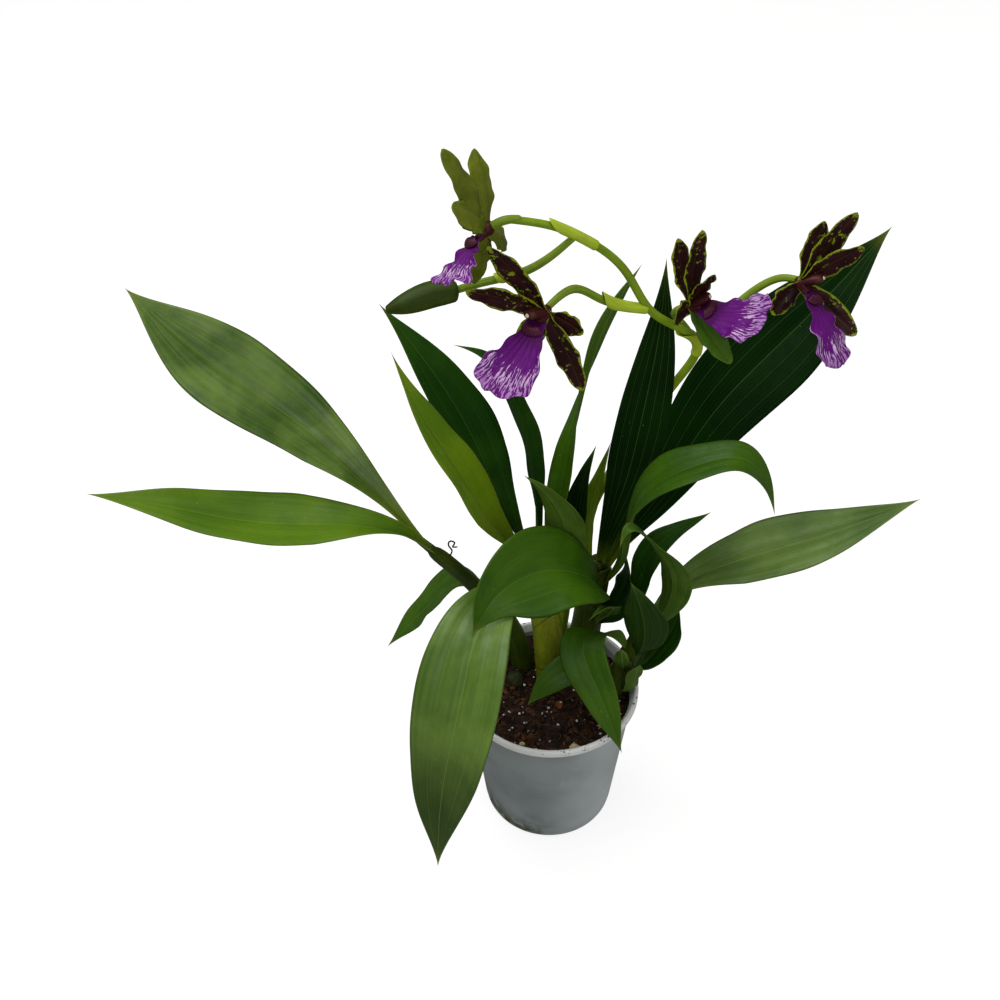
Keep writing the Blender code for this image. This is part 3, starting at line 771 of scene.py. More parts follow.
@dataclass(frozen=True)
class GrownFinish:
    """A plain fleshy skin in two tones with faint lengthwise lines, for stems, sheaths, buds and scales."""

    name: str
    first: Colour
    second: Colour
    stain: Colour
    stain_show: float = 0.15
    lines: float = 14.0
    roughness: float = 0.4
    gloss: float = 0.25
    map_name: str = TUBE_MAP
    raised: float = 0.08
    rim_show: float = 0.0

    def build(self) -> bpy.types.Material:
        """Make the material."""
        material, g, shader = new_material(self.name)
        around, along = g.flat(self.map_name)
        lines = g.noise(g.vector(g.times(around, self.lines), g.times(along, 1.5)), 1.0, 3.0)
        patch = g.use(Groups.get("mottle"), Scale=60.0, Low=0.3, High=0.7).outputs["Mask"]
        blot = g.use(Groups.get("mottle"), Scale=140.0, Low=0.55, High=0.72).outputs["Mask"]
        tone = g.plus(g.times(patch, 0.5), g.times(g.rise(lines, 0.3, 0.7), 0.5))
        colour = g.mix(tone, self.first, self.second)
        colour = g.mix(g.times(blot, self.stain_show), colour, self.stain)
        if self.rim_show:
            margin = g.use(Groups.get("veins")).outputs["Margin"]
            colour = g.mix(g.times(margin, self.rim_show), colour, self.stain)
        g.feed(shader.inputs["Base Color"], colour)
        g.feed(shader.inputs["Roughness"], g.scaled(patch, self.roughness - 0.06, self.roughness + 0.08))
        shader.inputs["Specular IOR Level"].default_value = self.gloss
        relief(g, shader, g.plus(lines, g.times(blot, 0.4)), self.raised)
        return material


@dataclass(frozen=True)
class PotFinish:
    """Grey moulded plastic with a limed rim, scattered soil specks, scuffs, algae low on one side, and
    painted light that makes its +X side paler.
    """

    name: str = "pot_plastic"
    body: Colour = (0.165, 0.192, 0.196)
    pale: Colour = (0.450, 0.495, 0.502)
    # pale is painted light: the colour that the +X side of the wall is lightened to.
    lime: Colour = (0.70, 0.71, 0.69)
    soil: Colour = (0.018, 0.012, 0.008)
    algae: Colour = (0.045, 0.062, 0.012)
    lit_from: tuple[float, float] = (-0.005, 0.045)
    limed_from: tuple[float, float] = (0.1064, 0.1074)
    crumbs_from: tuple[float, float] = (0.1085, 0.1105)

    def build(self) -> bpy.types.Material:
        """Make the material."""
        material, g, shader = new_material(self.name)
        place = g.place()
        split = g.add("ShaderNodeSeparateXYZ")
        g.feed(split.inputs[0], place)
        x, y, z = split.outputs
        cloud = g.use(Groups.get("mottle"), Scale=22.0, Low=0.25, High=0.75).outputs["Mask"]
        grain = g.noise(place, 900.0, 3.0, 0.6)
        runs = g.noise(g.vector(g.times(x, 130.0), g.times(y, 130.0), g.times(z, 9.0)), 1.0, 4.0, 0.6)
        # Painted light: the wall is lightened towards +X, as if lit more from that side.
        lit = g.plus(g.times(cloud, 0.3), g.rise(x, *self.lit_from, 0.7))
        colour = g.mix(lit, self.body, self.pale)
        colour = g.mix(g.rise(runs, 0.62, 0.8, 0.22), colour, self.lime)
        low = g.minus(1.0, g.rise(g.plus(z, g.times(cloud, 0.012)), 0.006, 0.036))
        side = g.rise(g.plus(g.times(x, -1.0), g.times(y, -0.55)), 0.018, 0.045)
        film = g.use(Groups.get("mottle"), Scale=130.0, Low=0.38, High=0.58).outputs["Mask"]
        colour = g.mix(g.times(g.times(low, side), film), colour, self.algae)
        top = g.rise(g.plus(z, g.times(g.minus(grain, 0.5), 0.0016)), *self.limed_from)
        worn = g.use(Groups.get("mottle"), Scale=210.0, Low=0.2, High=0.42).outputs["Mask"]
        colour = g.mix(g.times(top, g.scaled(worn, 0.55, 0.97)), colour, self.lime)
        dots = g.use(Groups.get("specks"), Scale=120.0, Size=0.075, Share=0.56).outputs["Mask"]
        crumbs = g.use(Groups.get("specks"), Scale=420.0, Size=0.42, Share=0.52).outputs["Mask"]
        at_lip = g.rise(z, *self.crumbs_from)
        colour = g.mix(g.times(dots, 0.85), colour, self.soil)
        colour = g.mix(g.times(g.times(crumbs, at_lip), 0.9), colour, self.soil)
        g.feed(shader.inputs["Base Color"], colour)
        g.feed(shader.inputs["Roughness"], g.scaled(cloud, 0.42, 0.6))
        relief(g, shader, g.plus(grain, g.times(runs, 0.6)), 0.05)
        return material


@dataclass(frozen=True)
class CrumbFinish:
    """A rough, matt, broken surface in two tones, for soil, bark, pebbles and perlite."""

    name: str
    first: Colour
    second: Colour
    scale: float = 260.0
    roughness: float = 0.85
    depth: float = 0.5
    gloss: float = 0.15

    def build(self) -> bpy.types.Material:
        """Make the material."""
        material, g, shader = new_material(self.name)
        place = g.place()
        coarse = g.noise(place, self.scale, 5.0, 0.65, 0.4)
        piece = g.noise(place, self.scale * 0.3, 1.0)
        tone = g.plus(g.times(g.rise(coarse, 0.35, 0.68), 0.5), g.times(g.rise(piece, 0.35, 0.65), 0.5))
        g.feed(shader.inputs["Base Color"], g.mix(tone, self.first, self.second))
        roughest = min(self.roughness + 0.1, 1.0)
        g.feed(shader.inputs["Roughness"], g.scaled(coarse, self.roughness - 0.1, roughest))
        shader.inputs["Specular IOR Level"].default_value = self.gloss
        relief(g, shader, coarse, self.depth)
        return material


class Finishes:
    """Every material of the plant by its plain name, each made once."""

    recipes = {
        "tepal_inside": TepalFinish(),
        "tepal_outside": TepalFinish("tepal_outside", (0.065, 0.075, 0.003), (0.135, 0.185, 0.004), 0.7),
        "lip_face": LipFinish(),
        "lip_back": LipFinish("lip_back", (0.17, 0.04, 0.27), (0.12, 0.02, 0.2), (0.6, 0.46, 0.62),
                              reach=0.04),
        "callus": GrownFinish("callus_maroon", (0.045, 0.004, 0.016), (0.085, 0.01, 0.038),
                              (0.22, 0.09, 0.15), 0.25),
        "column": GrownFinish("column_maroon", (0.034, 0.0035, 0.005), (0.075, 0.009, 0.012),
                              (0.16, 0.1, 0.02), 0.3),
        "anther": GrownFinish("anther_cream", (0.62, 0.52, 0.34), (0.75, 0.68, 0.48), (0.3, 0.1, 0.12),
                              0.2),
        "stem": GrownFinish("stem_green", (0.13, 0.235, 0.004), (0.25, 0.36, 0.01), (0.1, 0.07, 0.005),
                            0.12),
        "bract": GrownFinish("bract_yellow_green", (0.3, 0.42, 0.01), (0.48, 0.6, 0.04), (0.3, 0.26, 0.04),
                             0.25, map_name=BLADE_MAP),
        "ovary": GrownFinish("ovary_green", (0.12, 0.21, 0.01), (0.22, 0.32, 0.02), (0.08, 0.03, 0.01),
                             0.2),
        "bud": GrownFinish("bud_green", (0.018, 0.034, 0.003), (0.05, 0.082, 0.008), (0.022, 0.012, 0.005),
                           0.4, lines=9.0, gloss=0.1),
        "sheath": GrownFinish("sheath_yellow_green", (0.12, 0.17, 0.004), (0.27, 0.31, 0.012),
                              (0.1, 0.038, 0.004), 0.35, map_name=BLADE_MAP, lines=22.0, rim_show=0.8),
        "shoot": GrownFinish("shoot_green", (0.07, 0.12, 0.004), (0.17, 0.225, 0.01), (0.09, 0.04, 0.004),
                             0.35),
        # Painted shade: the next two are darkened copies of the shoot and sheath greens, for shoots that
        # stand in shade behind the leaves.
        "shoot_shaded": GrownFinish("shoot_shaded_green", (0.012, 0.026, 0.002), (0.04, 0.062, 0.004),
                                  (0.03, 0.016, 0.004), 0.35),
        "sheath_shaded": GrownFinish("sheath_shaded_green", (0.018, 0.04, 0.002), (0.06, 0.09, 0.005),
                                   (0.04, 0.018, 0.004), 0.35, map_name=BLADE_MAP, lines=22.0,
                                   rim_show=0.6),
        # Painted shade: the old bulb's near-black green stands for the shadow that it lies in behind the
        # front leaves.
        "old_bulb": GrownFinish("old_bulb_shaded_green", (0.012, 0.018, 0.004), (0.038, 0.05, 0.01),
                                (0.03, 0.016, 0.008), 0.5, roughness=0.6),
        "papery": GrownFinish("papery_brown", (0.06, 0.028, 0.006), (0.17, 0.095, 0.03),
                              (0.02, 0.012, 0.006), 0.6, lines=30.0, roughness=0.75, gloss=0.1,
                              map_name=BLADE_MAP, raised=0.25),
        "wire": GrownFinish("wire_black", (0.006, 0.006, 0.007), (0.012, 0.012, 0.014), (0.03, 0.03, 0.03),
                            0.3, roughness=0.35),
        "soil": CrumbFinish("soil_mix", (0.004, 0.002, 0.001), (0.04, 0.02, 0.012)),
        "bark": CrumbFinish("bark_chip", (0.006, 0.003, 0.002), (0.09, 0.042, 0.024), 420.0),
        "rust": CrumbFinish("rust_chip", (0.08, 0.022, 0.006), (0.19, 0.065, 0.018), 380.0),
        "fibre": CrumbFinish("coir_fibre", (0.05, 0.022, 0.01), (0.14, 0.07, 0.032), 500.0),
        "perlite": CrumbFinish("perlite_bead", (0.55, 0.53, 0.5), (0.8, 0.78, 0.75), 900.0, 0.8, 0.15),
        "pebble": CrumbFinish("pale_pebble", (0.36, 0.27, 0.13), (0.6, 0.5, 0.3), 500.0, 0.7, 0.3),
        "pot": PotFinish(),
    }
    made: dict[str, bpy.types.Material] = {}

    @classmethod
    def get(cls, name: str) -> bpy.types.Material:
        """Return a finish by name."""
        if name not in cls.made:
            cls.made[name] = cls.recipes[name].build()
        return cls.made[name]

    @classmethod
    def leaf(cls, tone: LeafTone) -> bpy.types.Material:
        """Return one of the leaf greens."""
        if tone.name not in cls.made:
            cls.made[tone.name] = tone.value.build()
        return cls.made[tone.name]


# ---------------------------------------------------------------- blades


@dataclass(frozen=True)
class Blade:
    """A leaf or petal: its midrib from root to tip and the blade's measures on it, in mm and degrees."""

    name: str
    midrib: tuple
    width: float
    roll: tuple = (0, 0)
    fold: tuple = (50, 12)
    neck: float = 5.0
    widest: float = 0.5
    taper: float = 1.45
    wave: float = 1.0
    waves: float = 2.5
    tone: LeafTone = LeafTone.MID
    pleats: float = 2.0
    pleat_depth: float = 0.3
    rows: int = 72
    columns: int = 21
    thickness: float = 0.7
    round_end: bool = False

    def half_width(self, u: np.ndarray) -> np.ndarray:
        """Return the blade's half width at fractions of its length."""
        half, neck = self.width / 2, self.neck / 2
        swell = neck + (half - neck) * ease(u, 0.0, self.widest)
        fall = np.clip((u - self.widest) / (1 - self.widest), 0.0, 1.0)
        return np.where(u < self.widest, swell, half * np.maximum(1 - fall * fall, 0.0) ** self.taper)

    def fractions(self) -> np.ndarray:
        """Return the fractions of the length at which the rows lie."""
        t = np.linspace(0.0, 1.0, self.rows)
        if not self.round_end:
            return t
        late = np.clip((t - self.widest) / (1 - self.widest), 0.0, 1.0)
        return np.where(t < self.widest, t, self.widest + (1 - self.widest) * np.sin(late * math.pi / 2))

    def side(self, faces: np.ndarray | None) -> np.ndarray:
        """Return the direction across the blade: level for a leaf, square to its face for a petal."""
        along = np.subtract(self.midrib[-1], self.midrib[0]).astype(float)
        if faces is not None:
            return unit(np.cross(along, faces))
        along[2] = 0.0
        return unit(np.cross(along, (0.0, 0.0, 1.0)))

    def relief(self, u: np.ndarray, v: np.ndarray, half: np.ndarray) -> np.ndarray:
        """Return how far the surface stands off the plain folded blade, in mm."""
        ripple = (self.wave * v * v * np.sin(math.tau * self.waves * u + 0.8 * v)
                  * np.minimum(half / self.width * 3, 1))
        swell = np.sqrt(np.clip(np.sin(math.pi * u), 0.0, 1.0)) * np.minimum(half / self.width * 2, 1)
        shift = 0.9 * math.sin(self.width * 1.7 + len(self.name))
        wide = np.cos(math.pi * 2 * self.pleats * v + 0.5 * v * v * shift)
        narrow = 0.45 * np.cos(math.pi * 3.3 * self.pleats * v + shift + 2.0 * u)
        pleat = -self.pleat_depth * (wide + narrow) * (1 - v * v * 0.6)
        wander = 0.35 * np.sin(math.tau * (5.3 * u + 0.31 * self.width)) * np.abs(v) ** 3
        return ripple + swell * (pleat + wander)

    def shell(self, faces: np.ndarray | None = None) -> Shell:
        """Build the blade's surface.

        Args:
            faces: The way a petal faces, or nothing for a leaf.

        Returns:
            The closed sheet of the blade.
        """
        u = self.fractions()
        line = smooth_curve(self.midrib, u)
        tangents = unit(np.gradient(line, u, axis=0))
        across = self.side(faces)
        side = unit(across - tangents * (tangents @ across)[:, None])
        up = np.cross(side, tangents)
        roll = np.radians(self.roll[0] + (self.roll[1] - self.roll[0]) * u)[:, None]
        side, up = side * np.cos(roll) - up * np.sin(roll), up * np.cos(roll) + side * np.sin(roll)
        closing = (self.fold[0] - self.fold[1]) * np.maximum(1 - 2.5 * u, 0.0)
        fold = np.radians(self.fold[1] + closing)[:, None]
        half = self.half_width(u)[:, None]
        v = np.linspace(-1.0, 1.0, self.columns)[None, :]
        lift = half * np.abs(v) * np.sin(fold) + self.relief(u[:, None], v, half)
        points = (line[:, None] + side[:, None] * (half * v * np.cos(fold))[..., None]
                  + up[:, None] * lift[..., None])
        body = self.thickness / 2 * np.sqrt(np.clip(1 - np.abs(v) ** 6, 0.0, 1.0))
        ends = np.clip((1 - u[:, None]) * 14, 0.15, 1.0)
        maps = {BLADE_MAP: np.stack(np.broadcast_arrays((v + 1) / 2, u[:, None]), axis=-1),
                BLADE_SIZE: np.stack(np.broadcast_arrays(half * MAP_MM + 0 * v, u[:, None] * 1.0), axis=-1)}
        return Shell(points, body * ends, maps)


@dataclass(frozen=True)
class Wrap:
    """A sheath or bract that clasps a round stem and runs out to a point on one side."""

    name: str
    start: float
    end: float
    faces: Point
    lift: float = 0.5
    flare: float = 2.0
    opening: float = 2.6
    sharp: float = 1.6
    closed: float = 3.05
    thickness: float = 0.5
    rows: int = 36
    columns: int = 33

    def shell(self, line: tuple, radii: tuple) -> Shell:
        """Build the sheath round a stem.

        Args:
            line: The stem's centre line.
            radii: The stem's radii, spread evenly along it.

        Returns:
            The closed sheet of the sheath.
        """
        s = np.linspace(0.0, 1.0, self.rows)
        at = self.start + (self.end - self.start) * s
        centre = smooth_curve(line, at)
        radius = np.interp(at, np.linspace(0.0, 1.0, len(radii)), radii)
        _, near, over = moving_frame(centre, np.array(self.faces, dtype=float))
        reach = self.closed * np.clip(1 - s ** self.opening, 0.0, 1.0) ** (1 / self.sharp)
        angle = reach[:, None] * np.linspace(-1.0, 1.0, self.columns)[None, :]
        out = (radius + self.lift + self.flare * s ** 4)[:, None] * np.ones_like(angle)
        points = (centre[:, None] + near[:, None] * (out * np.cos(angle))[..., None]
                  + over[:, None] * (out * np.sin(angle))[..., None])
        v = np.linspace(-1.0, 1.0, self.columns)[None, :]
        body = self.thickness / 2 * np.sqrt(np.clip(1 - np.abs(v) ** 8, 0.0, 1.0)) * np.ones_like(angle)
        half = (out * reach[:, None]) * MAP_MM
        maps = {BLADE_MAP: np.stack(np.broadcast_arrays((v + 1) / 2, s[:, None]), axis=-1),
                BLADE_SIZE: np.stack(np.broadcast_arrays(half, s[:, None] * 1.0), axis=-1)}
        return Shell(points[:, ::-1], body[:, ::-1], {k: m[:, ::-1] for k, m in maps.items()})


# ---------------------------------------------------------------- sub-assemblies


@dataclass
class Pot:
    """The tapered nursery pot with its rolled rim, base step and inner wall."""

    height: float = 112.0
    rim_radius: float = 60.0
    rim_depth: float = 5.0
    rim_lip: float = 3.0
    wall: float = 1.6
    top_radius: float = 57.0
    base_radius: float = 45.0
    base_round: float = 3.0
    seam_height: float = 7.0
    seam_step: float = 0.35
    sides: int = 144

    def radius(self, z: float) -> float:
        """Return the outer radius of the wall at a height."""
        return self.base_radius + (self.top_radius - self.base_radius) * z / self.height

    def profile(self) -> np.ndarray:
        """Return the wall's outline, from the middle of the floor to the middle of the underside."""
        under = self.height - self.rim_depth
        inside = self.rim_radius - self.rim_lip
        rows = [(0.0, self.wall), (self.base_radius - self.base_round - self.wall, self.wall),
                (self.radius(self.base_round) - self.wall, self.base_round + self.wall)]
        rows += [(self.radius(z) - self.wall, z) for z in np.linspace(12.0, under, 8)]
        rows += [(inside, self.height - 1.0), (inside + 0.3, self.height - 0.3), (inside + 1.0, self.height)]
        rows += [(self.rim_radius - 1.0, self.height), (self.rim_radius - 0.3, self.height - 0.3),
                 (self.rim_radius, self.height - 1.0), (self.rim_radius, under + 0.8),
                 (self.rim_radius - 0.25, under + 0.25), (self.rim_radius - 0.8, under),
                 (self.radius(under) + 0.4, under - 0.1), (self.radius(under), under - 0.7)]
        rows += [(self.radius(z), z) for z in np.linspace(under - 4.0, self.seam_height + 1.2, 14)]
        rows += [(self.radius(self.seam_height) - 0.1, self.seam_height + 0.4),
                 (self.radius(self.seam_height) - self.seam_step, self.seam_height),
                 (self.radius(self.base_round) - self.seam_step, self.base_round),
                 (self.base_radius - 0.9, 0.9), (self.base_radius - 2.0, 0.25),
                 (self.base_radius - self.base_round, 0.0), (self.base_radius - 7.0, 0.0),
                 (self.base_radius - 8.0, 0.8), (0.0, 0.8)]
        return np.array(rows)

    def build(self) -> None:
        """Build and dress the pot."""
        mesh = turned_mesh("pot_shell", self.profile(), self.sides)
        add_piece("pot_shell", mesh, (Finishes.get("pot"),), ("pot",))


@dataclass
class Soil:
    """The bark and fibre mix: a lumpy fill with loose chips, fibres, perlite and pebbles on it."""

    pot: Pot
    top: float = 100.0
    bump: float = 1.7
    rings: int = 44
    sides: int = 150
    seed: int = 11
    chips: int = 820
    rust_chips: int = 70
    fibres: int = 210
    fibre_radii: tuple = (0.16, 0.22, 0.12)
    beads: int = 95
    pebbles: tuple = ((14.0, -47.0, 3.4), (31.0, -30.0, 2.2), (-20.0, -44.0, 2.0))

    def reach(self) -> float:
        """Return the radius that the fill reaches at its top."""
        return self.pot.radius(self.top) - self.pot.wall - 0.35

    def height(self, x: float, y: float) -> float:
        """Return the height of the fill at a place, in mm."""
        lumps = (math.sin(x * 0.21 + 1.3) * math.cos(y * 0.17 + 0.4) + 0.6 * math.sin(x * 0.43 - y * 0.37)
                 + 0.4 * math.cos(x * 0.9 + y * 0.7) + 0.3 * math.sin(1.7 * x - 1.1 * y))
        rise = 2.2 * float(ease(math.hypot(x, y), 46.0, 54.5))
        return self.top + self.bump * 0.5 * lumps + rise

    def fill_mesh(self) -> bpy.types.Mesh:
        """Build the fill as one closed body."""
        random = np.random.default_rng(self.seed)
        low_z = self.pot.base_round + self.pot.wall + 0.3
        low_r = self.pot.radius(low_z) - self.pot.wall - 1.2
        bm = bmesh.new()
        centre = bm.verts.new((0.0, 0.0, self.height(0.0, 0.0) * MM))
        rings = []
        for ring in range(1, self.rings + 1):
            radius = self.reach() * ring / self.rings
            row = []
            for k in range(self.sides):
                angle = math.tau * (k + 0.5 * (ring % 2)) / self.sides
                x, y = radius * math.cos(angle), radius * math.sin(angle)
                z = self.height(x, y) + random.uniform(-0.55, 0.55)
                row.append(bm.verts.new((x * MM, y * MM, z * MM)))
            rings.append(row)
        base = [bm.verts.new((low_r * MM * math.cos(a), low_r * MM * math.sin(a), low_z * MM))
                for a in np.linspace(0.0, math.tau, self.sides, endpoint=False)]
        rings.append(base)
        for k in range(self.sides):
            after = (k + 1) % self.sides
            bm.faces.new((centre, rings[0][k], rings[0][after]))
            for inner, outer in zip(rings, rings[1:]):
                bm.faces.new((inner[k], outer[k], outer[after], inner[after]))
        bm.faces.new(tuple(reversed(base)))
        mesh = bpy.data.meshes.new("soil_fill")
        bm.to_mesh(mesh)
        bm.free()
        mesh.shade_smooth()
        return mesh

    def somewhere(self, random: np.random.Generator, margin: float) -> tuple[float, float]:
        """Draw a place on the fill, at least a margin in from the wall."""
        angle = random.uniform(0.0, math.tau)
        radius = (self.reach() - margin) * math.sqrt(random.uniform(0.0, 1.0))
        return radius * math.cos(angle), radius * math.sin(angle)

    def scatter(self, name: str, count: int, sizes: tuple, flat: float, jitter: float, seed: int,
                detail: int = 1) -> bpy.types.Mesh:
        """Scatter small broken lumps over the fill.

        Args:
            name: The mesh's name.
            count: How many lumps.
            sizes: The smallest and largest radius.
            flat: The least ratio of a lump's thickness to its size.
            jitter: How ragged a lump is, 0 to 1.
            seed: The seed of the scatter.
            detail: How finely each lump is divided.

        Returns:
            One mesh that holds every lump.
        """
        random = np.random.default_rng(seed)
        bm = bmesh.new()
        for _ in range(count):
            x, y = self.somewhere(random, 1.5)
            size = sizes[0] + (sizes[1] - sizes[0]) * random.uniform(0.0, 1.0) ** 2.2
            broad, thick = random.uniform(0.35, 0.9), random.uniform(flat, min(flat * 2.2, 1.0))
            shape = Vector((1.0, broad, thick)) * size
            turn = Matrix.Rotation(random.uniform(0.0, math.tau), 3, "Z") @ Matrix.Rotation(
                random.uniform(-0.5, 0.5), 3, "X") @ Matrix.Rotation(random.uniform(-0.5, 0.5), 3, "Y")
            base = Vector((x, y, self.height(x, y) + shape.z * random.uniform(0.0, 0.6)))
            lump = bmesh.ops.create_icosphere(bm, subdivisions=detail, radius=1.0)["verts"]
            for vert in lump:
                spot = vert.co * (1.0 + jitter * random.uniform(-0.5, 0.35))
                spot = turn @ Vector(a * b for a, b in zip(spot, shape))
                vert.co = (base + spot) * MM
        mesh = bpy.data.meshes.new(name)
        bm.to_mesh(mesh)
        bm.free()
        return mesh

    def fibre_mesh(self) -> bpy.types.Mesh:
        """Build the short curled fibres that lie on the fill."""
        random = np.random.default_rng(self.seed + 3)
        threads = []
        for i in range(self.fibres):
            x, y = self.somewhere(random, 4.0)
            heading, length = random.uniform(0.0, math.tau), random.uniform(3.0, 9.0)
            bend = random.uniform(-1.6, 1.6)
            points = []
            for t in np.linspace(0.0, 1.0, 5):
                px = x + math.cos(heading + bend * t) * length * t
                py = y + math.sin(heading + bend * t) * length * t
                hump = 0.5 + 1.3 * math.sin(math.pi * t) * random.uniform(0.3, 1.0)
                points.append((px, py, self.height(px, py) + hump))
            if math.hypot(points[-1][0], points[-1][1]) < self.reach() - 1.0:
                thread = smooth_tube(tuple(points), self.fibre_radii, spacing=1.2, sides=4)
                threads.append(thread.mesh(f"thread_{i}"))
        return join_meshes("soil_fibres", threads)

    def pebble_mesh(self) -> bpy.types.Mesh:
        """Build the few pale pebbles."""
        random = np.random.default_rng(self.seed + 5)
        bm = bmesh.new()
        for x, y, size in self.pebbles:
            for vert in bmesh.ops.create_icosphere(bm, subdivisions=3, radius=1.0)["verts"]:
                squash = Vector((1.0, 0.75, 0.62))
                bulge = 1.0 + 0.12 * math.sin(3.1 * vert.co.x + 2.3 * vert.co.y) + random.uniform(-0.03, 0.03)
                vert.co = (Vector((x, y, self.height(x, y) + size * 0.45))
                           + Vector(a * b * size * bulge for a, b in zip(vert.co, squash))) * MM
        mesh = bpy.data.meshes.new("soil_pebbles")
        bm.to_mesh(mesh)
        bm.free()
        mesh.shade_smooth()
        return mesh

    def build(self) -> None:
        """Build and dress the fill and what lies on it."""
        add_piece("soil_fill", self.fill_mesh(), (Finishes.get("soil"),), ("soil",))
        bark = self.scatter("soil_bark_chips", self.chips, (0.7, 3.6), 0.28, 0.55, self.seed)
        add_piece("soil_bark_chips", bark, (Finishes.get("bark"),))
        rust = self.scatter("soil_rust_chips", self.rust_chips, (0.9, 4.6), 0.2, 0.4, self.seed + 1)
        add_piece("soil_rust_chips", rust, (Finishes.get("rust"),))
        beads = self.scatter("soil_perlite", self.beads, (0.5, 1.5), 0.8, 0.18, self.seed + 2, detail=2)
        beads.shade_smooth()
        add_piece("soil_perlite", beads, (Finishes.get("perlite"),))
        add_piece("soil_fibres", self.fibre_mesh(), (Finishes.get("fibre"),))
        add_piece("soil_pebbles", self.pebble_mesh(), (Finishes.get("pebble"),))


@dataclass(frozen=True)
class Shoot:
    """A leafy shoot: its centre line from the soil up, its radii, and the sheaths that wrap it."""

    name: str
    line: tuple
    radii: tuple
    sheaths: tuple = ()
    # By default the shaded skins, which are painted shade; the centre shoot takes the lit ones.
    skins: tuple = ("shoot_shaded", "sheath_shaded")

    def build(self) -> None:
        """Build and dress the shoot and its sheaths."""
        core = smooth_tube(self.line, self.radii, spacing=2.0, sides=28, ribs=7, rib_depth=0.035)
        core_skin, sheath_skin = (Finishes.get(skin) for skin in self.skins)
        add_piece(self.name + "_core", core.mesh(self.name + "_core"), (core_skin,), (self.name,))
        for wrap in self.sheaths:
            name = f"{self.name}_{wrap.name}"
            shell = wrap.shell(self.line, self.radii).mesh(name)
            add_piece(name, shell, (sheath_skin, sheath_skin))


@dataclass
class Foliage:
    """Every leaf of the plant."""

    leaves: tuple[Blade, ...]

    def build(self) -> None:
        """Build and dress each leaf in its tone of green, some tones holding painted shade or painted light;
        leaves in the shaded tones take a shaded underside.
        """
        for leaf in self.leaves:
            under = LeafTone.UNDER_DEEP if leaf.tone in (LeafTone.DEEP, LeafTone.DARK) else LeafTone.UNDER
            name = leaf.name + "_blade"
            add_piece(name, leaf.shell().mesh(name), (Finishes.leaf(leaf.tone), Finishes.leaf(under)),
                      (leaf.name,))


@dataclass
class Spike:
    """The arching flower stem with its stalks, its clasping bracts and the closed bud."""

    line: tuple
    radii: tuple
    stalks: dict[str, tuple]
    stalk_radii: tuple
    sleeves: tuple[Wrap, ...]
    stalk_sleeves: dict[str, Wrap]
    bud_line: tuple
    bud_radii: tuple = (5.6, 6.6, 7.0, 7.0, 6.6, 5.8, 4.4, 2.2)

    def build(self) -> None:
        """Build and dress the spike."""
        stem = smooth_tube(self.line, self.radii, spacing=1.6, sides=24, ribs=5, rib_depth=0.03)
        add_piece("flower_stem_axis", stem.mesh("flower_stem_axis"), (Finishes.get("stem"),),
                  ("flower_stem",))
        for key, line in self.stalks.items():
            stalk = smooth_tube(line, self.stalk_radii, spacing=0.9, sides=24, ribs=6, rib_depth=0.07)
            add_piece(f"{key}_stalk", stalk.mesh(f"{key}_stalk"), (Finishes.get("ovary"),))
        shells = {sleeve.name: sleeve.shell(self.line, self.radii) for sleeve in self.sleeves}
        shells |= {sleeve.name: sleeve.shell(self.stalks[key], self.stalk_radii)
                   for key, sleeve in self.stalk_sleeves.items()}
        for name, shell in shells.items():
            add_piece(name, shell.mesh(name), (Finishes.get("bract"), Finishes.get("bract")))
        bud = smooth_tube(self.bud_line, self.bud_radii, spacing=0.8, sides=42, ribs=3, rib_depth=0.05)
        add_piece("bud_closed", bud.mesh("bud_closed"), (Finishes.get("bud"),), ("bud",))


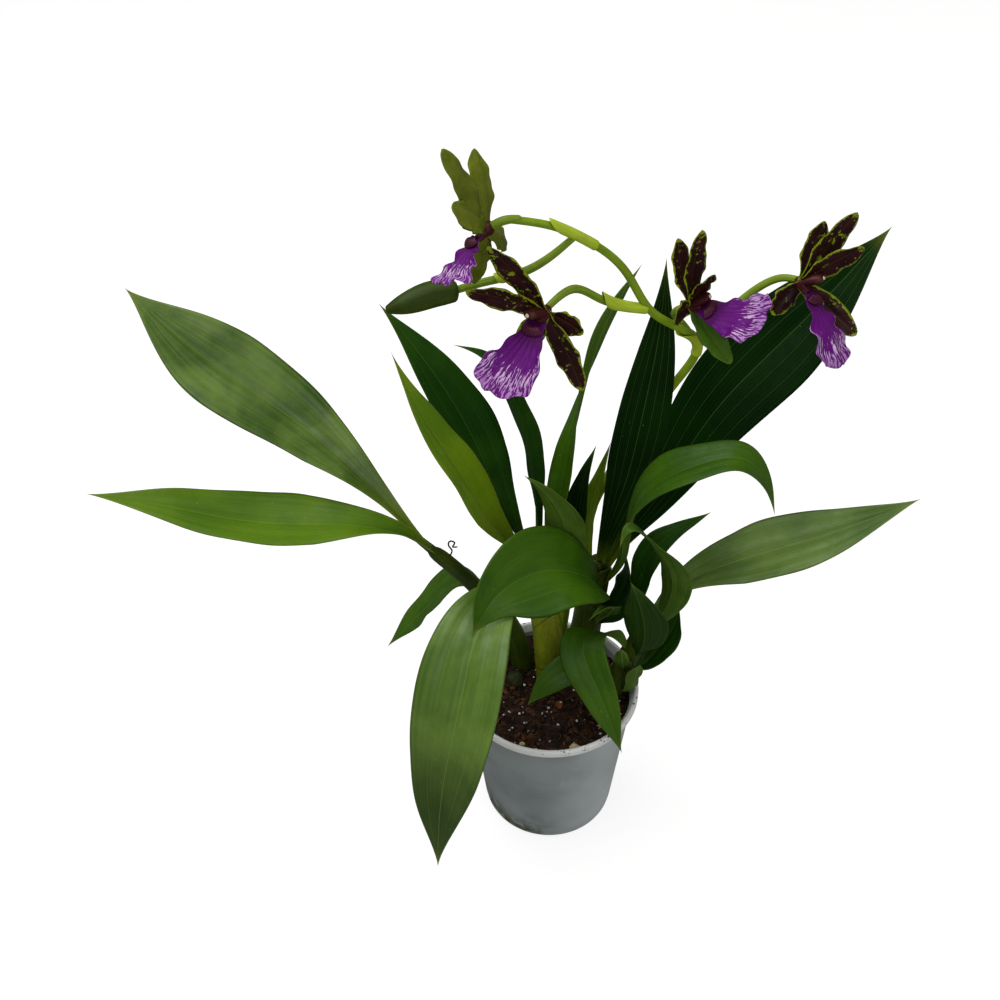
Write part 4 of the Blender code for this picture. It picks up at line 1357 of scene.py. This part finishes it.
@dataclass(frozen=True)
class Bloom:
    """A flower: its middle, the ways its column and its tepals face, its tepal tips and its lip."""

    name: str
    centre: Point
    faces: Point
    opens: Point
    tips: dict
    lip: tuple
    lip_roll: float
    green_tepal: str = ""
    tepal_width: float = 15.5
    tepal_bow: float = 2.0
    lip_width: float = 36.0
    foot_length: float = 7.0
    core_radius: float = 3.8
    column_length: float = 11.5
    column_radii: tuple = (3.2, 3.7, 4.1, 4.1, 3.2)
    cup_radii: tuple = (2.7, 2.3)
    cup_back: float = 3.0
    anther_radii: tuple = (1.2, 1.6, 0.9)
    fan_hinge: float = 5.0
    fan_ribs: float = 42.0
    rib_height: float = 0.22
    ruffles: float = 17.0
    ruffle_height: float = 1.35
    ridges: int = 13
    ridge_spread: float = 1.3
    ridge_length: float = 5.2
    ridge_radii: tuple = (0.9, 1.2, 0.6)

    def facing(self) -> np.ndarray:
        """Return the way the flower faces."""
        return unit(np.array(self.faces, dtype=float))

    def foot_way(self) -> np.ndarray:
        """Return the way the lip leaves the middle."""
        return unit(np.array(self.lip[1], dtype=float) - np.array(self.centre, dtype=float))

    def tepals(self) -> None:
        """Build the five tepals."""
        centre, opens = np.array(self.centre, dtype=float), unit(np.array(self.opens, dtype=float))
        for order, (key, tip) in enumerate(self.tips.items()):
            middle = (centre + np.array(tip)) / 2 - opens * self.tepal_bow
            name = f"{self.name}_{key}_tepal"
            blade = Blade(name, (tuple(centre), tuple(middle), tip), self.tepal_width, fold=(25, 10),
                          neck=8.0, taper=0.6, wave=0.8, waves=2.2 + 0.3 * order, pleats=1.0,
                          pleat_depth=0.25, rows=44, columns=15)
            nodes = (self.name + "_whorl",) if key == "dorsal" else ()
            skins = (Finishes.get("tepal_inside"), Finishes.get("tepal_outside"))
            if key == self.green_tepal:
                skins = (Finishes.leaf(LeafTone.MID), Finishes.leaf(LeafTone.UNDER))
            add_piece(name, blade.shell(opens).mesh(name), skins, nodes)

    def middle(self) -> None:
        """Build the cup that carries the tepals, the column and its anther cap."""
        centre, faces, out = np.array(self.centre, dtype=float), self.facing(), self.foot_way()
        cup = smooth_tube((tuple(centre - out * self.cup_back), tuple(centre),
                           tuple(centre + out * self.foot_length)),
                          (2.2, self.core_radius, *self.cup_radii), spacing=0.6, sides=24,
                          ribs=6, rib_depth=0.04)
        name = self.name + "_cup"
        add_piece(name, cup.mesh(name), (Finishes.get("column"),))
        rise = unit(faces + unit(np.array(self.tips["dorsal"], dtype=float) - centre))
        end = centre + rise * self.column_length + faces
        column = smooth_tube((tuple(centre), tuple(centre + rise * self.column_length / 2), tuple(end)),
                             self.column_radii, spacing=0.5, sides=26, flat=0.82, ribs=2, rib_depth=0.08)
        name = self.name + "_column"
        add_piece(name, column.mesh(name), (Finishes.get("column"),))
        nose = unit(rise + faces * 1.4)
        cap = smooth_tube((tuple(end - nose * 1.2), tuple(end + nose * 0.4), tuple(end + nose * 1.6)),
                          self.anther_radii, spacing=0.35, sides=20, ribs=2, rib_depth=0.1)
        name = self.name + "_anther"
        add_piece(name, cap.mesh(name), (Finishes.get("anther"),))

    def lip_shell(self) -> Shell:
        """Build the fan of the lip, with radial ribs, a ruffled margin and a notch in front."""
        claw = tuple(np.array(self.centre) + self.foot_way() * (self.foot_length - 0.4))
        blade = Blade(self.name + "_lip", (claw, *self.lip[1:]), self.lip_width,
                      roll=(self.lip_roll, self.lip_roll), fold=(10, -8), neck=12.0, widest=0.78, taper=0.35,
                      wave=1.6, waves=3.5, pleats=0.0, pleat_depth=0.0, rows=64, columns=61, thickness=0.6,
                      round_end=True)
        shell = blade.shell()
        u, v = blade.fractions()[:, None], np.linspace(-1.0, 1.0, blade.columns)[None, :]
        half = blade.half_width(u)
        length = np.linalg.norm(np.diff(smooth_curve(blade.midrib, blade.fractions()), axis=0), axis=1).sum()
        flat_x, flat_y = half * v, u * length + 0.0 * v
        turn = np.arctan2(flat_x, flat_y + self.fan_hinge)
        far = np.hypot(flat_x, flat_y + self.fan_hinge)
        edge_turn = np.concatenate((turn[:, 0], turn[::-1, -1]))
        edge_far = np.concatenate((far[:, 0], far[::-1, -1]))
        order = np.argsort(edge_turn)
        limit = np.interp(turn, edge_turn[order], edge_far[order])
        out = np.clip(far / np.maximum(limit, 1e-6), 0.0, 1.0)
        side_out = np.clip(np.abs(v) + 0 * u, 0.0, 1.0) ** 2
        out = np.clip(np.maximum(out * ease(u, 0.05, 0.5), side_out * ease(u, 0.3, 0.6)), 0.0, 1.0)
        ribs = self.rib_height * np.cos(turn * self.fan_ribs) * ease(u, 0.12, 0.4)
        ruffle = (self.ruffle_height * np.sin(turn * self.ruffles + 0.7) * ease(out, 0.62, 1.0)
                  * ease(u, 0.35, 0.7))
        shell.points += shell.normals() * (ribs + ruffle)[..., None]
        shell.maps[FAN_MAP] = np.stack((turn / math.pi + 0.5, out), axis=-1)
        return shell

    def callus_mesh(self, lip: Shell) -> bpy.types.Mesh:
        """Build the ribbed fleshy crest across the base of the lip."""
        row = int(lip.points.shape[0] * 0.13)
        middle = lip.points.shape[1] // 2
        base, up = lip.points[row, middle], lip.normals()[row, middle]
        along = unit(lip.points[row + 3, middle] - lip.points[row, middle])
        side = np.cross(along, up)
        ridges = []
        for i, angle in enumerate(np.linspace(-self.ridge_spread, self.ridge_spread, self.ridges)):
            way = along * math.cos(angle) * 0.8 + side * math.sin(angle) * 1.25
            start, end = base + up * 1.1 - along * 1.2, base + way * self.ridge_length + up * 0.8
            top = (start + end) / 2 + up * (1.7 - 0.3 * abs(angle))
            ridge = smooth_tube((tuple(start), tuple(top), tuple(end)), self.ridge_radii, spacing=0.5,
                                sides=12)
            ridges.append(ridge.mesh(f"ridge_{i}"))
        return join_meshes(self.name + "_callus", ridges)

    def build(self) -> None:
        """Build and dress the whole flower."""
        self.tepals()
        self.middle()
        lip = self.lip_shell()
        crest = self.callus_mesh(lip)
        name = self.name + "_lip_fan"
        add_piece(name, lip.mesh(name), (Finishes.get("lip_face"), Finishes.get("lip_back")),
                  (self.name + "_lip",))
        add_piece(self.name + "_callus", crest, (Finishes.get("callus"),))


@dataclass
class Trim:
    """What sits on the shoots: the old bulb, the papery scale and the wire tie."""

    shoot: Shoot
    bulb: Point = (-23.0, 13.0, 102.0)
    scale: Blade = field(default_factory=lambda: Blade(
        "papery_scale", ((-42, 18, 174), (-50, 8, 180), (-57, 4, 190)), 8, neck=5, rows=40, columns=17,
        pleats=2.0, pleat_depth=0.3))
    wire_radius: float = 0.5
    wire_place: float = 0.86
    wire_gap: float = 0.3
    wire_loop: tuple = ((0, 0), (2, 3), (4, 4), (8, 5), (10, 8), (7, 9), (5, 6), (3, 8))

    def build(self) -> None:
        """Build and dress the trim."""
        centre = np.array(self.bulb)
        bulb = smooth_tube((tuple(centre - (3.2, 1.0, 3.6)), tuple(centre), tuple(centre + (2.8, 0.5, 4.2))),
                           (4.2, 6.2, 6.4, 5.2, 2.4), spacing=0.7, sides=36, ribs=9, rib_depth=0.035)
        add_piece("old_bulb_skin", bulb.mesh("old_bulb_skin"), (Finishes.get("old_bulb"),),
                  ("old_bulb",))
        add_piece("papery_scale_husk", self.scale.shell().mesh("papery_scale_husk"),
                  (Finishes.get("papery"), Finishes.get("papery")), ("papery_scale",))
        add_piece("wire_tie_twist", self.wire_mesh(), (Finishes.get("wire"),), ("wire_tie",))

    def wire_mesh(self) -> bpy.types.Mesh:
        """Build the twisted wire: a turn round the shoot and a loose loop."""
        line, radii = self.shoot.line, self.shoot.radii
        before, middle, after = smooth_curve(line, np.array((-0.01, 0.0, 0.01)) + self.wire_place)
        shoot_radius = np.interp(self.wire_place, np.linspace(0.0, 1.0, len(radii)), radii)
        radius = shoot_radius + self.wire_gap + self.wire_radius
        along = unit(after - before)
        out = unit(np.cross(along, (0.0, -1.0, 0.0)))
        over = np.cross(along, out)
        turns = np.linspace(0.0, 0.94 * math.tau, 40)
        ring = [tuple(middle + radius * (out * math.cos(t) + over * math.sin(t)) + along * t / 4)
                for t in turns]
        loop = [tuple(middle + radius * out + along * a + out * (b + 1)) for a, b in self.wire_loop]
        path = tuple(list(reversed(ring)) + loop[1:])
        return smooth_tube(path, (self.wire_radius, self.wire_radius), spacing=0.3, sides=12, ribs=2,
                           rib_depth=0.22, twist=2.2).mesh("wire_tie_twist")


@dataclass
class Studio:
    """The pale floor, the soft lights and the camera at the photograph's angle."""

    lens: float = 43.2
    camera_at: Point = (-0.032, -0.550, 0.727)
    pitch: float = 39.5
    lean: float = -0.9
    floor_size: float = 8.0
    floor_tones: tuple[float, float] = (0.30, 0.32)
    floor_glow: float = 0.79
    aim: Point = (0.0, 0.0, 0.25)
    key_at: Point = (-0.55, 0.15, 1.75)
    front_at: Point = (0.5, -1.5, 1.0)
    air: Colour = (1.0, 0.99, 0.97)
    air_light: float = 0.5
    air_shine: float = 0.12

    def floor(self) -> None:
        """Lay the floor."""
        bm = bmesh.new()
        bmesh.ops.create_grid(bm, x_segments=2, y_segments=2, size=self.floor_size / 2)
        mesh = bpy.data.meshes.new("floor")
        bm.to_mesh(mesh)
        bm.free()
        material, g, shader = new_material("floor_pale")
        tone = g.use(Groups.get("mottle"), Scale=1.5, Low=0.2, High=0.8).outputs["Mask"]
        g.feed(shader.inputs["Base Color"], g.mix(tone, *((grey, grey, grey) for grey in self.floor_tones)))
        shader.inputs["Roughness"].default_value = 0.9
        shader.inputs["Emission Color"].default_value = (1.0, 1.0, 1.0, 1.0)
        shader.inputs["Emission Strength"].default_value = self.floor_glow
        mesh.materials.append(material)
        floor = bpy.data.objects.new("floor", mesh)
        bpy.context.scene.collection.objects.link(floor)
        floor.visible_diffuse = floor.visible_glossy = False

    def light(self, name: str, place: Point, size: float, power: float) -> None:
        """Add one soft square light."""
        lamp = bpy.data.lights.new(name, "AREA")
        lamp.shape, lamp.size, lamp.energy = "SQUARE", size, power
        obj = bpy.data.objects.new(name, lamp)
        obj.location = place
        obj.rotation_euler = (Vector(self.aim) - Vector(place)).to_track_quat("-Z", "Y").to_euler()
        bpy.context.scene.collection.objects.link(obj)

    def lights(self) -> None:
        """Hang a large soft light above and a weak one in front."""
        self.light("key_light", self.key_at, 1.5, 21.0)
        self.light("front_light", self.front_at, 1.2, 5.0)
        world = bpy.data.worlds.new("studio_air")
        world.use_nodes = True
        g, air = Graph(world.node_tree), world.node_tree.nodes["Background"]
        air.inputs["Color"].default_value = (*self.air, 1.0)
        shine = g.add("ShaderNodeLightPath").outputs["Is Glossy Ray"]
        g.feed(air.inputs["Strength"], g.scaled(shine, self.air_light, self.air_shine))
        bpy.context.scene.world = world

    def camera(self) -> None:
        """Set the camera where the photograph was taken from."""
        pitch, lean = math.radians(self.pitch), math.radians(self.lean)
        ahead = Vector((0.0, math.cos(pitch), -math.sin(pitch)))
        right = Vector((1.0, 0.0, 0.0))
        above = right.cross(ahead)
        across = right * math.cos(lean) + above * math.sin(lean)
        upward = above * math.cos(lean) - right * math.sin(lean)
        lens = bpy.data.cameras.new("camera")
        lens.lens, lens.clip_start, lens.clip_end = self.lens, 0.01, 50.0
        camera = bpy.data.objects.new("camera", lens)
        turn = Matrix((across, upward, -ahead)).transposed().to_4x4()
        turn.translation = Vector(self.camera_at)
        camera.matrix_world = turn
        bpy.context.scene.collection.objects.link(camera)
        bpy.context.scene.camera = camera

    def build(self) -> None:
        """Set up the whole studio."""
        self.camera()
        self.lights()
        self.floor()
        bpy.context.scene.view_settings.view_transform = "Standard"


# ---------------------------------------------------------------- the plant's own measures

SHOOTS = (
    Shoot("shoot_left", ((-16, 30, 88), (-24, 27, 130), (-38, 20, 168), (-54, 14, 197), (-82, 8, 236)),
          (7.0, 7.2, 5.6, 4.0, 2.6), (Wrap("sheath_low", 0.05, 0.55, (-0.4, -1.0, 0.0)),
                                      Wrap("sheath_high", 0.3, 0.97, (0.5, -1.0, 0.3), 0.3))),
    Shoot("shoot_centre", ((0, 18, 88), (0, 20, 130), (-6, 24, 170), (-14, 27, 208)), (8.5, 9.5, 8.0, 5.5),
          (Wrap("sheath_low", 0.04, 0.6, (0.8, -1.0, 0.0)),
           Wrap("sheath_mid", 0.2, 0.85, (-0.9, -1.0, 0.0), 0.9),
           Wrap("sheath_high", 0.4, 1.0, (0.1, -1.0, 0.0), 0.4)), ("shoot", "sheath")),
    Shoot("shoot_right", ((22, 32, 88), (26, 35, 130), (30, 38, 160), (33, 39, 188)), (8.5, 9.5, 8.5, 6.5),
          (Wrap("sheath_low", 0.04, 0.7, (-0.8, -1.0, 0.0)),
           Wrap("sheath_high", 0.3, 1.0, (0.6, -1.0, 0.0), 0.9))),
    Shoot("shoot_side", ((38, 0, 88), (46, 2, 112), (55, 6, 138), (62, 8, 160)), (6.0, 6.5, 6.0, 4.2),
          (Wrap("sheath_low", 0.05, 0.6, (-0.3, -1.0, 0.0)),
           Wrap("sheath_high", 0.3, 0.95, (0.7, -0.8, 0.0), 0.8))),
)

LEAVES = (
    Blade("leaf_left_long", ((-80, 8, 232), (-109, 14, 272), (-151, 28, 312), (-204, 45, 349),
                             (-246, 62, 385)), 54, roll=(-15, -30), neck=6, widest=0.66,
          tone=LeafTone.GLOSSY, pleat_depth=0.5, rows=110, columns=29),
    Blade("leaf_left_level", ((-75, 6, 227), (-92, -5, 252), (-126, -12, 266), (-170, -18, 274),
                              (-220, -24, 292), (-264, -28, 306)), 42, roll=(0, -20), neck=7,
          tone=LeafTone.FRESH, rows=110, columns=25),
    Blade("leaf_left_back", ((-38, 22, 168), (-54, 42, 166), (-84, 58, 130), (-115, 50, 97)), 36,
          roll=(0, -30), tone=LeafTone.MID),
    Blade("leaf_tall_dark", ((-13, 27, 200), (-32, 36, 246), (-54, 44, 302), (-81, 52, 348),
                             (-101, 60, 374)), 40, roll=(-20, -20), tone=LeafTone.DARK, rows=96),
    Blade("leaf_tall_bright", ((-12, 25, 190), (-40, 14, 250), (-61, 8, 300), (-80, 12, 337),
                               (-92, 22, 365)), 36, roll=(-20, -20), tone=LeafTone.BACKLIT, rows=96),
    Blade("leaf_tall_thin", ((-10, 27, 192), (-12, 48, 270), (-24, 54, 312), (-40, 55, 339),
                             (-59, 50, 351)), 24, tone=LeafTone.DARK),
    Blade("leaf_twisted", ((-4, 24, 180), (8, 38, 258), (19, 50, 313), (32, 60, 358), (52, 64, 395)), 26,
          roll=(60, -120), waves=1, tone=LeafTone.MID, rows=110),
    Blade("leaf_small_upright", ((1, 20, 165), (10, 18, 230), (2, 15, 256), (-8, 12, 273), (-18, 8, 286)),
          24, roll=(45, 45), tone=LeafTone.MID),
    Blade("leaf_front_long", ((-6, 22, 160), (-26, -6, 202), (-44, -40, 212), (-56, -72, 186),
                              (-69, -92, 128), (-76, -100, 48)), 58, widest=0.52, tone=LeafTone.HANGING,
          pleat_depth=0.5, wave=1.8, rows=120, columns=29),
    Blade("leaf_right_tall", ((32, 38, 178), (38, 38, 216), (48, 42, 254), (57, 52, 300), (64, 64, 343),
                              (67, 76, 392)), 34, roll=(40, 45), neck=8, tone=LeafTone.DEEP, rows=96),
    Blade("leaf_right_long", ((32, 39, 165), (48, 52, 190), (67, 60, 215), (102, 74, 276), (155, 92, 334),
                              (207, 110, 392)), 62, roll=(25, 25), neck=12, widest=0.64,
          tone=LeafTone.DEEP, rows=120, columns=29),
    Blade("leaf_arched", ((33, 36, 164), (48, 20, 206), (50, 10, 252), (64, 2, 285), (86, -4, 302),
                          (105, -6, 307), (120, -4, 293), (133, -2, 259)), 36, roll=(10, 15),
          tone=LeafTone.MID, rows=110),
    Blade("leaf_front_broad", ((28, 34, 150), (30, 12, 190), (16, -7, 219), (-2, -16, 231),
                               (-21, -27, 234), (-35, -38, 231), (-50, -50, 210)), 56, roll=(-20, -60),
          widest=0.66, tone=LeafTone.MID, pleat_depth=0.3, rows=100, columns=27),
    Blade("leaf_small_dark", ((28, 38, 155), (17, 40, 230), (22, 40, 262), (28, 40, 284)), 18,
          roll=(-40, -40), tone=LeafTone.DEEP),
    Blade("leaf_small_yellow", ((30, 40, 165), (26, 50, 223), (32, 50, 252), (38, 52, 277)), 12,
          tone=LeafTone.BACKLIT),
    Blade("leaf_pointing_down", ((30, 30, 136), (40, 8, 172), (36, -7, 190), (30, -14, 195),
                                 (22, -16, 186)), 12, tone=LeafTone.MID),
    Blade("leaf_inner_dark", ((30, 35, 130), (46, 30, 152), (53, 27, 180), (48, 29, 206)), 30,
          roll=(30, 30), tone=LeafTone.DARK),
    Blade("leaf_right_level", ((61, 9, 155), (88, 30, 171), (129, 34, 192), (182, 34, 213),
                               (234, 32, 243)), 44, roll=(10, 25), tone=LeafTone.SATIN, rows=100,
          columns=25),
    Blade("leaf_right_short", ((57, 8, 140), (62, 30, 184), (73, 36, 207), (90, 38, 219), (104, 38, 230)),
          22, tone=LeafTone.DARK),
    Blade("leaf_curled", ((60, 6, 145), (76, -3, 206), (68, -8, 232), (54, -14, 255), (43, -18, 265),
                          (38, -22, 252)), 28, roll=(0, -20), tone=LeafTone.MID),
    Blade("leaf_over_rim", ((54, 5, 132), (34, -6, 164), (20, -20, 172), (28, -41, 150), (44, -58, 108)),
          30, roll=(0, 10), tone=LeafTone.MID),
    Blade("leaf_low_front", ((46, 2, 108), (28, -4, 132), (11, -10, 135), (-4, -16, 127), (-16, -18, 110)),
          24, roll=(-20, -20), tone=LeafTone.MID),
    Blade("leaf_side_upright", ((54, 5, 126), (60, -8, 158), (57, -12, 188), (48, -12, 216)), 30,
          widest=0.55, tone=LeafTone.DARK),
    Blade("leaf_side_short", ((50, 4, 121), (64, 8, 120), (73, 12, 130), (82, 14, 147), (85, 14, 168)), 22,
          roll=(10, 40), neck=8, tone=LeafTone.DARK),
    Blade("leaf_side_tiny", ((46, 2, 104), (53, -8, 112), (55, -13, 128), (56, -16, 144)), 14, widest=0.7,
          taper=0.6, tone=LeafTone.SATIN),
    Blade("leaf_side_low", ((50, 4, 120), (47, -9, 138), (45, -12, 156)), 12, widest=0.6, taper=0.8,
          tone=LeafTone.MID),
)

SPIKE_LINE = ((8, 44, 88), (18, 56, 170), (34, 62, 230), (58, 64, 278), (76, 63, 312), (87, 58, 341),
              (75, 46, 361), (53, 34, 382), (40, 30, 405), (17, 16, 433), (-5, 6, 448), (-24, 1, 454))
STEM_RADII = (3.4, 3.3, 3.0, 2.6, 2.3, 2.0)
STALKS = {
    "bud": ((9, 12, 439), (-17, 12, 419), (-37, 9, 415), (-58, 3, 412)),
    "flower_1": ((-20, 2, 454), (-28, 0, 454), (-36, 0, 450)),
    "flower_2": ((53, 34, 382), (24, 22, 396), (9, 12, 408), (-6, -4, 406)),
    "flower_3": ((87, 58, 341), (80, 62, 352), (71, 55, 367), (78, 46, 377)),
    "flower_4": ((87, 58, 341), (98, 68, 349), (120, 70, 373), (133, 65, 383), (142, 56, 386)),
}
STALK_RADII = (1.8, 2.2, 2.2, 1.9)
BUD_LINE = ((-54, 4, 412), (-64, 2, 412), (-76, -2, 410), (-89, -5, 407))
SLEEVES = (
    Wrap("bract_1_sleeve", 0.596, 0.672, (-0.2, -0.4, 1.0), 0.45, 1.2),
    Wrap("bract_3_sleeve", 0.88, 0.958, (-0.3, -0.4, 1.0), 0.45, 1.2),
)

STALK_SLEEVES = {
    "bud": Wrap("bract_4_sleeve", 0.45, 0.66, (-0.3, -0.4, 1.0), 0.35, 1.0),
    "flower_2": Wrap("bract_2_sleeve", 0.03, 0.46, (-0.3, -0.4, 1.0), 0.9, 1.2),
}

BLOOMS = (
    Bloom("flower_1", (-36, 0, 450), (-0.85, 0.1, -0.5), (-0.62, 0.5, -0.6),
          {"dorsal": (-57, -10, 496), "left": (-42, 14, 486), "right": (-53, -22, 472),
           "low_left": (-43, 1, 418), "low_right": (-26, 18, 432)},
          ((-42, -4, 446), (-50, -13, 440), (-59, -23, 432)), 28),
    Bloom("flower_2", (-7, -6, 405), (-0.53, -0.75, -0.4), (-0.38, -0.9, -0.12),
          {"dorsal": (-36, -15, 448), "left": (-48, -11, 421), "right": (13, -8, 392),
           "low_left": (-20, 12, 370), "low_right": (14, -8, 356)},
          ((-11, -12, 400), (-20, -24, 394), (-36, -42, 380)), 0),
    Bloom("flower_3", (78, 46, 377), (0.85, -0.45, -0.1), (0.55, -0.8, 0.0),
          {"dorsal": (81, 50, 422), "left": (70, 62, 411), "right": (87, 36, 402),
           "low_left": (67, 30, 377), "low_right": (101, 26, 350)},
          ((83, 42, 376), (94, 33, 379), (115, 18, 388)), 25, green_tepal="low_right"),
    Bloom("flower_4", (141, 54, 386), (0.75, -0.62, -0.1), (0.25, -0.95, 0.1),
          {"dorsal": (168, 60, 426), "left": (155, 74, 414), "right": (170, 44, 413),
           "low_left": (125, 46, 370), "low_right": (177, 48, 354)},
          ((146, 47, 382), (152, 36, 374), (162, 20, 352)), -20),
)


def main() -> None:
    """Dress the whole plant and set up the studio."""
    logging.basicConfig(level=logging.INFO, format="%(name)s: %(message)s")
    Studio().build()
    pot = Pot()
    pot.build()
    Soil(pot).build()
    for shoot in SHOOTS:
        shoot.build()
    Foliage(LEAVES).build()
    Trim(SHOOTS[0]).build()
    Spike(SPIKE_LINE, STEM_RADII, STALKS, STALK_RADII, SLEEVES, STALK_SLEEVES, BUD_LINE).build()
    for bloom in BLOOMS:
        bloom.build()


if __name__ == "__main__":
    main()
